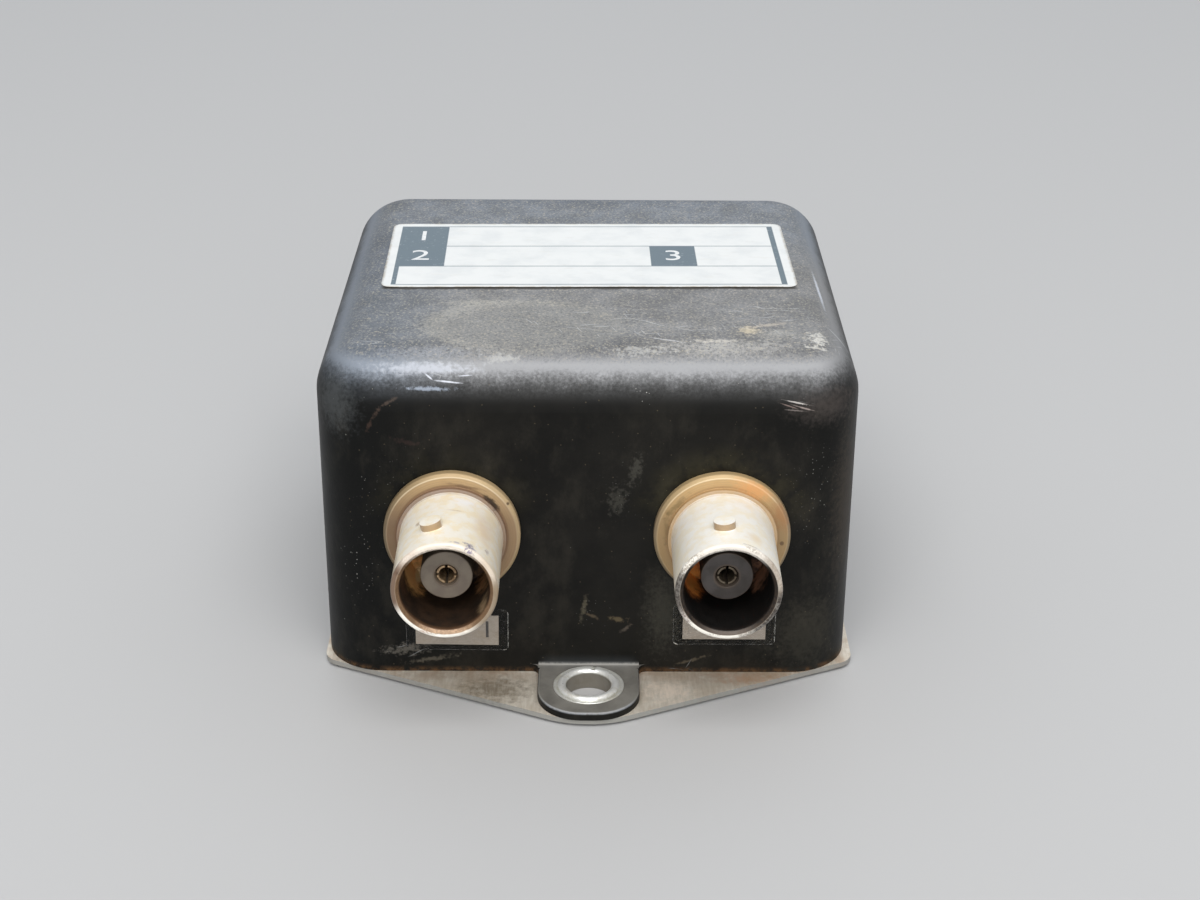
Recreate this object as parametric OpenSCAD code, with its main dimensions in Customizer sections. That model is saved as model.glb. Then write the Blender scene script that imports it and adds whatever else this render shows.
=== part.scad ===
// Dual port coupler: a moulded block on a thin base plate with two riveted ears, carrying two bayonet
// coaxial jacks on its front face. All sizes are in millimetres. The front looks along -Y, +Z is up, and
// the origin is on the seating plane, midway between the two mounting holes.

/* [Moulded housing] */
// Width of the moulded block, left to right
block_w = 51; // [48:0.5:60]
// Depth of the moulded block, front face to rear face
block_d = 50.8; // [48:0.2:60]
// Height of the moulded block above the base plate
block_h = 32.7; // [29:0.1:45]
// Radius of the upright corners
corner_r = 5.8; // [5.2:0.1:9]
// Radius of the edges round the top
top_edge_r = 5.1; // [3:0.1:5.2]
// Thickness of the side walls
wall_t = 2.4; // [2:0.1:2.8]
// Thickness of the roof
roof_t = 2.4; // [2:0.1:2.8]
// How far the block sits off the centre of the plate, to the right
block_shift = -0.2; // [-0.4:0.05:0.4]
// Diameter of the four bosses under the roof
boss_d = 5; // [4.6:0.1:7]
// Depth of the screw hole up each boss
boss_hole_depth = 4.4; // [3.8:0.1:4.8]

/* [Ears] */
// Distance from the block's face to the centre of the mounting hole
hole_offset = 3.9; // [3.8:0.1:8]
// Width of the moulded tab that lies on the ear
tab_w = 9.75; // [8.6:0.05:14]
// Thickness of the tab
tab_t = 0.8; // [0.6:0.1:2]
// Reach of the tab past the centre of the hole
tab_reach = 4.9; // [4.3:0.1:7]
// Radius of the tab's two front corners
tab_corner_r = 4.2; // [2:0.1:4.2]
// Radius of the tab's top edges
tab_edge_r = 0.3; // [0.1:0.05:0.4]
// Radius of the fillets where the tab leaves the wall
tab_fillet_r = 0.7; // [0.3:0.1:1]

/* [Base plate] */
// Width of the base plate
plate_w = 51.9; // [50:0.1:62]
// Thickness of the base plate
plate_t = 0.5; // [0.4:0.1:2]
// Reach of the plate's nose past the centre of the hole
nose_reach = 4.76; // [4:0.02:8]
// Radius of the plate's nose
nose_r = 9.5; // [6:0.5:14]
// Angle between the ear's sloping edges and the block's face, in degrees
ear_angle = 24.8; // [20:0.1:32]
// Radius of the plate's corners at the sides
plate_corner_r = 2; // [0.5:0.1:4]

/* [Eyelets] */
// Diameter of the clear hole through each eyelet
eyelet_bore = 4.3; // [3.8:0.05:4.6]
// Thickness of the eyelet's metal
eyelet_wall = 0.3; // [0.2:0.05:0.35]
// Radius of the curled top of the eyelet, seen in section
curl_r = 0.42; // [0.38:0.01:0.5]
// Width of the thin lip that the curl ends in
lip_w = 0.4; // [0.2:0.05:0.45]
// Thickness of that lip
lip_t = 0.15; // [0.1:0.05:0.3]
// Diameter of the flat flange under the plate
eyelet_flange_d = 7; // [6:0.1:9]
// Thickness of that flange
eyelet_flange_t = 0.3; // [0.2:0.05:0.6]
// Width of the split in the curl
split_w = 0.35; // [0.2:0.05:0.8]
// Direction of the split, counted from the right, in degrees
split_angle = 80; // [0:5:355]

/* [Jacks] */
// Distance between the two jacks
jack_pitch = 25.4; // [22:0.1:28]
// Height of the jacks' axis above the base plate
jack_h = 15.3; // [14:0.1:17.5]
// Turn of the left jack in its hole, in degrees, to the left
left_turn = 14.5; // [-45:0.5:45]
// Turn of the right jack in its hole, in degrees, to the left
right_turn = 4; // [-45:0.5:45]
// Diameter of the round flange
flange_d = 12.9; // [12:0.1:16]
// Thickness of the flange
flange_t = 1; // [0.6:0.1:2]
// Bevel round the flange's front edge
flange_bevel = 0.3; // [0.1:0.05:0.5]
// Diameter of the collar where the barrel meets the flange
collar_d = 10.3; // [9.9:0.1:11]
// Length of that collar
collar_l = 0.5; // [0.2:0.1:1.5]
// Outer diameter of the barrel
barrel_d = 9.66; // [9.6:0.01:9.7]
// Length of the barrel, flange to mouth
barrel_l = 10.6; // [10:0.05:12]
// Diameter of the bore that takes the plug's sleeve
socket_d = 8.12; // [8.1:0.01:8.15]
// Depth of that bore, mouth to floor
socket_depth = 8.65; // [8:0.05:9]
// Bevel round the outside of the mouth
mouth_bevel = 0.12; // [0.08:0.01:0.3]
// Bevel round the inside of the mouth
mouth_chamfer = 0.3; // [0.1:0.05:0.35]
// Diameter of the two locking lugs
lug_d = 2.03; // [1.9:0.01:2.1]
// Distance across the tops of the lugs
lug_span = 11; // [10.9:0.01:11.1]
// Distance of the lugs behind the mouth
lug_depth = 3.55; // [2.8:0.05:4.5]
// Diameter over the threads of the tail
tail_d = 9.5; // [9:0.05:10]
// Length of the tail behind the flange
tail_l = 8; // [7.6:0.1:10]
// Floor left in front of the insulator's body
web_t = 0.9; // [0.6:0.1:1.2]
// Thickness of the rear edge that is rolled in over the insulator
rolled_edge_t = 0.4; // [0.3:0.1:0.8]

/* [Insulators and centre contacts] */
// Diameter of the insulator's nose
nose_d = 4.77; // [4.7:0.01:4.83]
// Distance of the insulator's face behind the mouth
face_depth = 3.02; // [2.5:0.01:3.4]
// Diameter of the insulator's body inside the tail
insulator_d = 6.6; // [6:0.1:7.2]
// Diameter of the insulator's rear boss
insulator_boss_d = 4; // [3.4:0.1:4.6]
// Length of that boss
insulator_boss_l = 1; // [0.8:0.1:2]
// Diameter of the contact's slotted tines
contact_d = 1.9; // [1.8:0.05:2]
// Diameter of the contact's bore
contact_bore = 1.38; // [1.34:0.01:1.42]
// Depth of the contact's bore
contact_bore_l = 5; // [4.5:0.1:6]
// Solid metal between that bore and the shank
contact_floor_t = 1; // [0.6:0.1:1.4]
// Width of the four slots
slot_w = 0.22; // [0.15:0.01:0.25]
// Length of the slots
slot_l = 4; // [3:0.1:4.4]
// How far the tines end behind the insulator's face
contact_inset = 0.15; // [0.05:0.05:0.4]
// Diameter of the relief round the tines in the insulator's face
relief_d = 2.3; // [2.2:0.05:3]
// Depth of that relief
relief_depth = 1; // [0.5:0.1:2]
// Diameter of the contact's shank
shank_d = 2.2; // [2.1:0.05:2.6]
// Diameter of the solder cup
cup_d = 2; // [1.6:0.1:2.4]
// Length of the solder cup behind the insulator
cup_l = 3.2; // [2.6:0.1:5]
// Diameter of the hole in the solder cup
cup_bore = 1.2; // [1.1:0.05:1.4]
// Depth of that hole
cup_depth = 2.4; // [2:0.1:2.5]
// Distance of the lead's end from the bottom of that hole
cup_end_gap = 0.3; // [0.1:0.1:0.6]

/* [Jack fastenings] */
// Diameter of the solder tag's ring
tag_ring_d = 13; // [12:0.1:13.6]
// Thickness of the solder tag
tag_t = 0.5; // [0.3:0.1:0.8]
// Width of the tag's tongue
tongue_w = 3; // [2:0.1:4]
// Distance of the hole in the tongue from the jack's axis
tag_hole_reach = 8.3; // [8:0.1:9]
// Turn of the tongue from upright, towards the middle of the block, in degrees
tag_turn = 60; // [50:5:70]
// Diameter of that hole
tag_hole_d = 1.2; // [1:0.1:1.6]
// Outer diameter of the lock washer
washer_d = 13; // [12:0.1:14]
// Thickness of the lock washer
washer_t = 0.6; // [0.4:0.1:0.8]
// Number of teeth on the lock washer
washer_teeth = 12; // [8:1:16]
// Depth of the gaps between the teeth
tooth_depth = 1; // [0.6:0.1:1.2]
// Width of the nut across its flats
nut_flats = 12.7; // [12:0.1:14]
// Thickness of the nut
nut_t = 2.5; // [2:0.1:3]

/* [Circuit board] */
// Distance of the board's upper face below the roof
board_drop = 3.4; // [3:0.1:6]
// Thickness of the board
board_t = 1.6; // [0.8:0.1:2]
// Gap between the board and the side walls
board_side_gap = 3.6; // [2:0.1:5]
// Gap between the board and the front wall
board_front_gap = 6; // [3:0.1:6.5]
// Gap between the board and the rear wall
board_rear_gap = 3; // [1:0.1:5]
// Distance of the screws in from the board's edges
screw_inset = 3; // [2.6:0.1:4]
// Diameter of the screws
screw_d = 2; // [1.6:0.1:2.4]
// Diameter of the screws' heads
screw_head_d = 4; // [3.4:0.1:4.6]
// Height of the screws' heads
screw_head_h = 1.4; // [1:0.1:2]
// Width of the slot across each head
screw_slot_w = 0.5; // [0.4:0.1:0.8]
// Length of the screws under the head
screw_l = 5.5; // [5:0.1:5.6]

/* [Parts on the board] */
// Outer diameter of the transformer's ring core
core_od = 12.7; // [10:0.1:14]
// Inner diameter of the ring core
core_id = 7; // [6:0.1:7.6]
// Height of the ring core
core_h = 4.8; // [3:0.1:6]
// Radius of the ring core's edges
core_edge_r = 0.4; // [0.2:0.05:0.8]
// Distance of the ring core behind the middle of the board
core_back = 6; // [5:0.1:8]
// Diameter of the winding's wire
wire_d = 0.5; // [0.3:0.05:0.6]
// Number of turns on the core
turns = 14; // [6:1:18]
// Angle of the core that the turns cover, in degrees
winding_angle = 300; // [240:5:320]
// Diameter of the resistor's body
resistor_d = 3.4; // [2:0.1:4]
// Length of the resistor's body
resistor_l = 9; // [6:0.1:10]
// Distance of the resistor in front of the middle of the board
resistor_ahead = 4.5; // [4:0.1:6]
// Diameter of the capacitors' discs
disc_d = 7; // [5:0.1:9]
// Thickness of the capacitors' discs
disc_t = 2.6; // [2:0.1:3.4]
// Distance of each capacitor from the middle of the board
disc_side = 11.5; // [11:0.1:12]
// Distance of each capacitor behind the middle of the board
disc_back = 1; // [0:0.1:2]
// Gap between the discs and the board
disc_gap = 0.6; // [0.3:0.1:2]
// Distance between a capacitor's two leads
disc_lead_pitch = 5; // [3:0.1:5]
// Diameter of all component leads and hook-up wires
lead_d = 0.8; // [0.5:0.05:0.9]
// Bend radius of the leads
bend_r = 1.3; // [1:0.1:1.6]
// Straight stretch of the resistor's leads, and least distance of the ground leads from the board's edge
lead_straight = 1; // [0.6:0.1:1.4]
// Length of the leads above the board
lead_end = 0.7; // [0.4:0.1:1.2]

/* [Labels] */
// Width of the nameplate
nameplate_w = 41.4; // [36:0.1:44]
// Depth of the nameplate, front edge to rear edge
nameplate_d = 19.1; // [14:0.1:24]
// Thickness of the nameplate
nameplate_t = 0.12; // [0.1:0.01:0.4]
// Radius of the nameplate's corners
nameplate_r = 1; // [0.5:0.1:3]
// Distance of the nameplate's middle behind the block's middle
nameplate_back = 3.2; // [0:0.1:5]
// Turn of the nameplate on the block, in degrees
nameplate_turn = 0.86; // [-3:0.02:3]
// Width of the paper slip under each jack
slip_w = 8; // [6:0.1:10]
// Height of the paper slip
slip_h = 3.2; // [2:0.1:4]
// Thickness of the paper slip
slip_t = 0.12; // [0.1:0.01:0.2]
// Width of the clear film over each slip
film_w = 9.9; // [9:0.1:12]
// Height of the clear film
film_h = 4.5; // [4:0.1:6]
// Radius of the film's corners
film_r = 0.5; // [0.2:0.1:1]
// Thickness of the clear film
film_t = 0.12; // [0.1:0.01:0.2]
// Distance of the left slip's middle below the jack's axis
left_slip_drop = 10.65; // [9.8:0.05:11.5]
// Distance of the right slip's middle below the jack's axis
right_slip_drop = 9.95; // [9.8:0.05:11.5]
// Distance of the left slip's middle to the right of the jack's axis
left_slip_aside = 0.2; // [-1:0.05:1]
// Distance of the right slip's middle to the right of the jack's axis
right_slip_aside = 0.55; // [-1:0.05:1]
// Turn of the left slip, in degrees
left_slip_turn = -0.6; // [-3:0.1:3]

/* [Clearances] */
// Radial gap round the eyelets in the plate and the tabs
eyelet_gap = 0.05; // [0.02:0.01:0.1]
// Gap between an eyelet's lip and the fillet behind it
lip_gap = 0.05; // [0.02:0.01:0.1]
// Radial gap round the jacks' tails in the housing, tags, washers and nuts
tail_gap = 0.05; // [0.02:0.01:0.15]
// Radial gap between the shell, the insulator and the contact
insulator_gap = 0.03; // [0.01:0.01:0.05]
// Radial gap round the leads in the board's holes
lead_gap = 0.12; // [0.05:0.01:0.3]
// Radial gap round the screws in the board
screw_gap = 0.2; // [0.05:0.01:0.4]
// Radial gap round the screws in the bosses
boss_gap = 0.03; // [0.01:0.01:0.05]
// Gap between the winding and what it lies against
winding_gap = 0.08; // [0.05:0.01:0.2]
// Gap between the slip and the film's pocket
film_gap = 0.05; // [0.02:0.01:0.1]

/* [Hidden] */
$fn = 64;
// Overrun that lets a cut pass cleanly through a face
over = 0.5;

// Heights, from the seating plane up
plate_top = eyelet_flange_t + plate_t;
tab_top = plate_top + tab_t;
block_top = plate_top + block_h;
roof_under = block_top - roof_t;
jack_z = plate_top + jack_h;
board_top = roof_under - board_drop;
board_under = board_top - board_t;

// Places in plan
hole_y = block_d / 2 + hole_offset;
front_y = -block_d / 2;
inner_front_y = front_y + wall_t;
lip_r = eyelet_bore / 2 + 2 * curl_r + lip_w;
root_r = min(tab_fillet_r, hole_offset - lip_r - lip_gap);
left_x = block_shift - jack_pitch / 2;
right_x = block_shift + jack_pitch / 2;

// The board's outline, its screws and its holes
board_x0 = block_shift - block_w / 2 + wall_t + board_side_gap;
board_x1 = block_shift + block_w / 2 - wall_t - board_side_gap;
board_y0 = inner_front_y + board_front_gap;
board_y1 = block_d / 2 - wall_t - board_rear_gap;
board_mid = [(board_x0 + board_x1) / 2, (board_y0 + board_y1) / 2];
screw_places = [
    for (x = [board_x0 + screw_inset, board_x1 - screw_inset])
        for (y = [board_y0 + screw_inset, board_y1 - screw_inset]) [x, y]
];

// Distances along a jack's axis, counted forward from the back of its flange
mouth = flange_t + barrel_l;
socket_floor = mouth - socket_depth;
insulator_front = socket_floor - web_t;
insulator_back = -tail_l + rolled_edge_t;
insulator_face = mouth - face_depth;
contact_front = insulator_face - contact_inset;
boss_back = insulator_back - insulator_boss_l;
cup_back = boss_back - cup_l;
shank_front = contact_front - contact_bore_l - contact_floor_t;

// Where each lead starts and goes up through the board
port_lead_y = front_y - cup_back + over + bend_r;
ground_lead_y = board_y0 + lead_d / 2 + lead_straight;
left_tag_x = left_x + tag_hole_reach * sin(tag_turn);
right_tag_x = right_x - tag_hole_reach * sin(tag_turn);
tag_hole_z = jack_z + tag_hole_reach * cos(tag_turn);
disc_y = board_mid[1] + disc_back;
resistor_y = board_mid[1] - resistor_ahead;
resistor_reach = resistor_l / 2 + lead_straight + bend_r;
core_y = board_mid[1] + core_back;
core_mid_r = (core_od + core_id) / 4;
wrap_w = (core_od - core_id) / 4 + wire_d / 2 + winding_gap;
wrap_h = core_h / 2 + wire_d / 2 + winding_gap;
core_z = board_under - winding_gap - wire_d / 2 - wrap_h;

// A corner of an outline, rounded: where the arc leaves each side, and its centre
function unit(v) = v / norm(v);
function half_angle(p, a, b) = acos(unit(a - p) * unit(b - p)) / 2;
function leave(p, a, b, r) = p + unit(a - p) * r / tan(half_angle(p, a, b));
function arc_centre(p, a, b, r) = p + unit(unit(a - p) + unit(b - p)) * r / sin(half_angle(p, a, b));

// An outline whose corners, all turning outwards, are true arcs
module rounded_outline(points, radii) {
    n = len(points);
    polygon([for (i = [0:n - 1], side = [-1, 1])
        leave(points[i], points[(i + n + side) % n], points[(i + n - side) % n], radii[i])]);
    for (i = [0:n - 1])
        translate(arc_centre(points[i], points[(i + n - 1) % n], points[(i + 1) % n], radii[i]))
            circle(r = radii[i]);
}

module rounded_rectangle(w, h, r) {
    x = w / 2;
    y = h / 2;
    rounded_outline([[-x, -y], [x, -y], [x, y], [-x, y]], [r, r, r, r]);
}

// The section of a block: straight below, with both upper corners rounded
module round_topped(w, h, r) {
    translate([-w / 2, 0]) square([w, h - r]);
    translate([-w / 2 + r, 0]) square([w - 2 * r, h]);
    for (side = [-1, 1])
        translate([side * (w / 2 - r), h - r]) circle(r = r);
}

// A block with upright corners of one radius and top edges of another
module rounded_block(w, d, h, upright_r, edge_r) {
    translate([-w / 2 + upright_r, 0, 0]) rotate([90, 0, 90])
        linear_extrude(w - 2 * upright_r) round_topped(d, h, edge_r);
    translate([0, d / 2 - upright_r, 0]) rotate([90, 0, 0])
        linear_extrude(d - 2 * upright_r) round_topped(w, h, edge_r);
    for (x = [-1, 1], y = [-1, 1])
        translate([x * (w / 2 - upright_r), y * (d / 2 - upright_r), 0])
            rotate_extrude()
                intersection() {
                    round_topped(2 * upright_r, h, edge_r);
                    square([upright_r, h]);
                }
}

// The section of a fillet in the corner of two faces, with some of the material behind both
module fillet_section(r, behind) difference() {
    translate([-behind, -behind]) square(r + behind);
    translate([r, r]) circle(r = r);
}

// Tab at the foot of the front face, with fillets above it and on both sides where it leaves the wall
module tab() {
    length = hole_offset + tab_reach + wall_t + tab_corner_r;
    behind = wall_t / 4;
    translate([0, length / 2 - hole_y - tab_reach, plate_top])
        rounded_block(tab_w, length, tab_t, tab_corner_r, tab_edge_r);
    translate([tab_w / 2, front_y, tab_top]) rotate([90, 0, -90])
        linear_extrude(tab_w) fillet_section(root_r, behind);
    for (side = [[1, -90], [-1, 180]])
        translate([side[0] * tab_w / 2, front_y, plate_top]) rotate(side[1])
            linear_extrude(tab_t) fillet_section(tab_fillet_r, behind);
}

// Housing: one moulding, open below, with a tab at the foot of its front and rear faces
module housing() color("#1f2022") difference() {
    union() {
        difference() {
            union() {
                translate([block_shift, 0, plate_top])
                    rounded_block(block_w, block_d, block_h, corner_r, top_edge_r);
                for (turn = [0, 180]) rotate(turn) tab();
            }
            translate([block_shift, 0, plate_top - over])
                rounded_block(block_w - 2 * wall_t, block_d - 2 * wall_t, block_h - roof_t + over,
                    corner_r - wall_t, top_edge_r - wall_t);
        }
        for (p = screw_places)
            translate([p[0], p[1], board_top]) cylinder(d = boss_d, h = roof_under + roof_t / 2 - board_top);
    }
    for (x = [left_x, right_x])
        translate([x, front_y - over, jack_z]) rotate([-90, 0, 0])
            cylinder(r = tail_d / 2 + tail_gap, h = wall_t + 2 * over);
    for (side = [-1, 1])
        translate([0, side * hole_y, plate_top - over])
            cylinder(r = eyelet_bore / 2 + eyelet_wall + eyelet_gap, h = tab_t + 2 * over);
    for (p = screw_places)
        translate([p[0], p[1], board_top - over])
            cylinder(r = screw_d / 2 + boss_gap, h = boss_hole_depth + over);
}

// Base plate: thin sheet under the block, drawn out to a blunt nose round each mounting hole
module base_plate() color("#c9c6bd") {
    apex = hole_y + nose_reach + nose_r * (1 / cos(ear_angle) - 1);
    side_y = apex - tan(ear_angle) * plate_w / 2;
    x = plate_w / 2;
    difference() {
        translate([0, 0, eyelet_flange_t]) linear_extrude(plate_t)
            rounded_outline(
                [[0, -apex], [x, -side_y], [x, side_y], [0, apex], [-x, side_y], [-x, -side_y]],
                [nose_r, plate_corner_r, plate_corner_r, nose_r, plate_corner_r, plate_corner_r]);
        for (side = [-1, 1])
            translate([0, side * hole_y, 0])
                cylinder(r = eyelet_bore / 2 + eyelet_wall + eyelet_gap, h = plate_top + over);
    }
}

// Eyelet: flanged below, curled over the tab above, with one split in the curl
module eyelet() color("#d7d8d6") {
    inner = eyelet_bore / 2;
    difference() {
        rotate_extrude() {
            translate([inner, 0]) square([eyelet_wall, tab_top]);
            translate([inner, 0]) square([eyelet_flange_d / 2 - inner, eyelet_flange_t]);
            translate([inner + curl_r, tab_top]) intersection() {
                difference() {
                    circle(r = curl_r);
                    circle(r = curl_r - eyelet_wall);
                }
                translate([-curl_r, 0]) square([2 * curl_r, curl_r]);
            }
            translate([lip_r - lip_w - eyelet_wall, tab_top]) square([lip_w + eyelet_wall, lip_t]);
        }
        rotate(split_angle) translate([inner + eyelet_wall, -split_w / 2, tab_top])
            cube([2 * curl_r, split_w, curl_r + over]);
    }
}

module front_eyelet() translate([0, -hole_y, 0]) eyelet();

module rear_eyelet() translate([0, hole_y, 0]) rotate(180) eyelet();

// Puts a part drawn along +Z, with 0 at the back of the flange, on the axis of a jack
module at_jack(x) {
    translate([x, front_y, jack_z]) rotate([90, 0, 0]) children();
}

// Jack shell: flange, collar, barrel, two locking lugs and a tail, turned from one bar
module jack_shell(turn) color("#d8d2bf") rotate(turn) difference() {
    union() {
        rotate_extrude() polygon([
            [0, -tail_l], [tail_d / 2 - mouth_bevel, -tail_l], [tail_d / 2, -tail_l + mouth_bevel],
            [tail_d / 2, 0], [flange_d / 2, 0], [flange_d / 2, flange_t - flange_bevel],
            [flange_d / 2 - flange_bevel, flange_t], [collar_d / 2, flange_t],
            [collar_d / 2, flange_t + collar_l], [barrel_d / 2, flange_t + collar_l],
            [barrel_d / 2, mouth - mouth_bevel], [barrel_d / 2 - mouth_bevel, mouth], [0, mouth]
        ]);
        translate([0, 0, mouth - lug_depth]) rotate([90, 0, 0])
            cylinder(d = lug_d, h = lug_span, center = true);
    }
    translate([0, 0, socket_floor]) cylinder(d = socket_d, h = socket_depth + over);
    rotate_extrude() polygon([
        [0, mouth - mouth_chamfer], [socket_d / 2, mouth - mouth_chamfer],
        [socket_d / 2 + mouth_chamfer, mouth], [socket_d / 2 + mouth_chamfer, mouth + over], [0, mouth + over]
    ]);
    translate([0, 0, insulator_front - over])
        cylinder(r = nose_d / 2 + insulator_gap, h = web_t + 2 * over);
    translate([0, 0, insulator_back])
        cylinder(r = insulator_d / 2 + insulator_gap, h = insulator_front - insulator_back);
    translate([0, 0, -tail_l - over])
        cylinder(r = insulator_boss_d / 2 + insulator_gap, h = rolled_edge_t + 2 * over);
}

// Insulator: nose in the mouth, body held inside the tail, boss out of its rear edge
module insulator(shade) color(shade) difference() {
    union() {
        translate([0, 0, insulator_back]) cylinder(d = insulator_d, h = insulator_front - insulator_back);
        translate([0, 0, insulator_back]) cylinder(d = nose_d, h = insulator_face - insulator_back);
        translate([0, 0, boss_back]) cylinder(d = insulator_boss_d, h = insulator_boss_l + over);
    }
    translate([0, 0, shank_front - over])
        cylinder(r = contact_d / 2 + insulator_gap, h = insulator_face - shank_front + 2 * over);
    translate([0, 0, insulator_face - relief_depth]) cylinder(d = relief_d, h = relief_depth + over);
    translate([0, 0, boss_back - over])
        cylinder(r = shank_d / 2 + insulator_gap, h = shank_front - boss_back + over);
}

// Contact: four slotted tines in front, a shank in the insulator and an open solder cup behind
module contact() color("#c29a4b") difference() {
    union() {
        translate([0, 0, shank_front]) cylinder(d = contact_d, h = contact_front - shank_front);
        translate([0, 0, boss_back]) cylinder(d = shank_d, h = shank_front - boss_back);
        translate([0, 0, cup_back]) cylinder(d = cup_d, h = cup_l);
    }
    translate([0, 0, contact_front - contact_bore_l]) cylinder(d = contact_bore, h = contact_bore_l + over);
    for (turn = [0, 90])
        rotate(turn) translate([-contact_d, -slot_w / 2, contact_front - slot_l])
            cube([2 * contact_d, slot_w, slot_l + over]);
    translate([0, 0, cup_back - over]) cylinder(d = cup_bore, h = cup_depth + over);
    translate([-cup_d, cup_bore / 4, cup_back - over]) cube([2 * cup_d, cup_d, cup_depth / 2 + over]);
}

// Solder tag: flat ring behind the front wall with a tongue that reaches out to its lead
module solder_tag(turn) color("#b9b7ac") translate([0, 0, -wall_t - tag_t]) rotate(turn) difference() {
    union() {
        cylinder(d = tag_ring_d, h = tag_t);
        translate([-tongue_w / 2, 0, 0]) cube([tongue_w, tag_hole_reach, tag_t]);
        translate([0, tag_hole_reach, 0]) cylinder(d = tongue_w, h = tag_t);
    }
    translate([0, 0, -over]) cylinder(r = tail_d / 2 + tail_gap, h = tag_t + 2 * over);
    translate([0, tag_hole_reach, -over]) cylinder(d = tag_hole_d, h = tag_t + 2 * over);
}

// Lock washer: flat ring with a row of teeth round its inner edge
module lock_washer() color("#a5a59e") translate([0, 0, -wall_t - tag_t - washer_t]) difference() {
    cylinder(d = washer_d, h = washer_t);
    translate([0, 0, -over]) cylinder(r = tail_d / 2 + tail_gap, h = washer_t + 2 * over);
    gap_w = PI * tail_d / washer_teeth / 2;
    for (i = [0:washer_teeth - 1])
        rotate(i * 360 / washer_teeth) translate([0, -gap_w / 2, -over])
            cube([tail_d / 2 + tooth_depth, gap_w, washer_t + 2 * over]);
}

// Nut: plain hexagon with bevelled corners, clamping the jack to the front wall
module jack_nut() color("#b3a57c") translate([0, 0, -wall_t - tag_t - washer_t - nut_t]) difference() {
    across = nut_flats / cos(30);
    bevel = (across - nut_flats) / 2;
    intersection() {
        cylinder(d = across, h = nut_t, $fn = 6);
        rotate_extrude() polygon([
            [0, 0], [nut_flats / 2, 0], [across / 2, bevel / 2], [across / 2, nut_t - bevel / 2],
            [nut_flats / 2, nut_t], [0, nut_t]
        ]);
    }
    translate([0, 0, -over]) cylinder(r = tail_d / 2 + tail_gap, h = nut_t + 2 * over);
}

module left_jack_shell() at_jack(left_x) jack_shell(left_turn);

module right_jack_shell() at_jack(right_x) jack_shell(right_turn);

module left_insulator() at_jack(left_x) insulator("#b9b3ad");

module right_insulator() at_jack(right_x) insulator("#5b555c");

module left_contact() at_jack(left_x) contact();

module right_contact() at_jack(right_x) contact();

module left_solder_tag() at_jack(left_x) solder_tag(-tag_turn);

module right_solder_tag() at_jack(right_x) solder_tag(tag_turn);

module left_lock_washer() at_jack(left_x) lock_washer();

module right_lock_washer() at_jack(right_x) lock_washer();

module left_jack_nut() at_jack(left_x) jack_nut();

module right_jack_nut() at_jack(right_x) jack_nut();

// The winding's path: eight points a turn round the core's section, with both ends led up to the board
turn_step = winding_angle / turns;
first_turn = -90 - winding_angle / 2;
wrap_cut = wire_d;
wrap_points = [
    [wrap_w, wrap_h - wrap_cut], [wrap_w, wrap_cut - wrap_h], [wrap_w - wrap_cut, -wrap_h],
    [wrap_cut - wrap_w, -wrap_h], [-wrap_w, wrap_cut - wrap_h], [-wrap_w, wrap_h - wrap_cut],
    [wrap_cut - wrap_w, wrap_h], [wrap_w - wrap_cut, wrap_h]
];
function on_core(angle, p) = [
    board_mid[0] + (core_mid_r + p[0]) * cos(angle), core_y + (core_mid_r + p[0]) * sin(angle), core_z + p[1]
];
winding_start = on_core(first_turn, wrap_points[0]);
winding_stop = on_core(first_turn + turn_step * (turns - 1 / 8), wrap_points[0]);
winding_path = concat(
    [[winding_start[0], winding_start[1], board_top + lead_end]],
    [for (i = [0:turns - 1], k = [0:7]) on_core(first_turn + turn_step * (i + k / 8), wrap_points[k])],
    [winding_stop, [winding_stop[0], winding_stop[1], board_top + lead_end]]
);

// A tube along a path round the core, with each ring squared to the path's direction there
function along(path, i) = unit(path[min(i + 1, len(path) - 1)] - path[max(i - 1, 0)]);
function round_core(p) = unit([core_y - p[1], p[0] - board_mid[0], 0]);
module tube_round_core(path, r, sides) {
    rings = [for (i = [0:len(path) - 1])
        let (t = along(path, i), a = round_core(path[i]), u = unit(a - (a * t) * t), v = cross(t, u))
            for (k = [0:sides - 1]) path[i] + r * (cos(k * 360 / sides) * u + sin(k * 360 / sides) * v)];
    last = len(path) - 1;
    faces = concat(
        [[for (k = [0:sides - 1]) k]],
        [for (i = [0:last - 1], k = [0:sides - 1], half = [0, 1])
            let (n = (k + 1) % sides, a = i * sides, b = a + sides)
                half == 0 ? [a + k, b + k, b + n] : [a + k, b + n, a + n]],
        [[for (k = [sides - 1:-1:0]) last * sides + k]]
    );
    polyhedron(rings, faces);
}

// A wire that leaves along +Y for some way, bends up and ends above the board, from a given point
module bent_wire(run, rise) {
    rotate([-90, 0, 0]) cylinder(d = lead_d, h = run - bend_r);
    translate([0, run - bend_r, bend_r]) rotate([0, 90, 0])
        rotate_extrude(angle = 90) translate([bend_r, 0]) circle(d = lead_d);
    translate([0, run, bend_r]) cylinder(d = lead_d, h = rise - bend_r);
}

// Circuit board: one sheet, drilled for its screws and for every lead
module lead_hole(x, y) {
    translate([x, y, board_under - over]) cylinder(r = lead_d / 2 + lead_gap, h = board_t + 2 * over);
}

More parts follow.
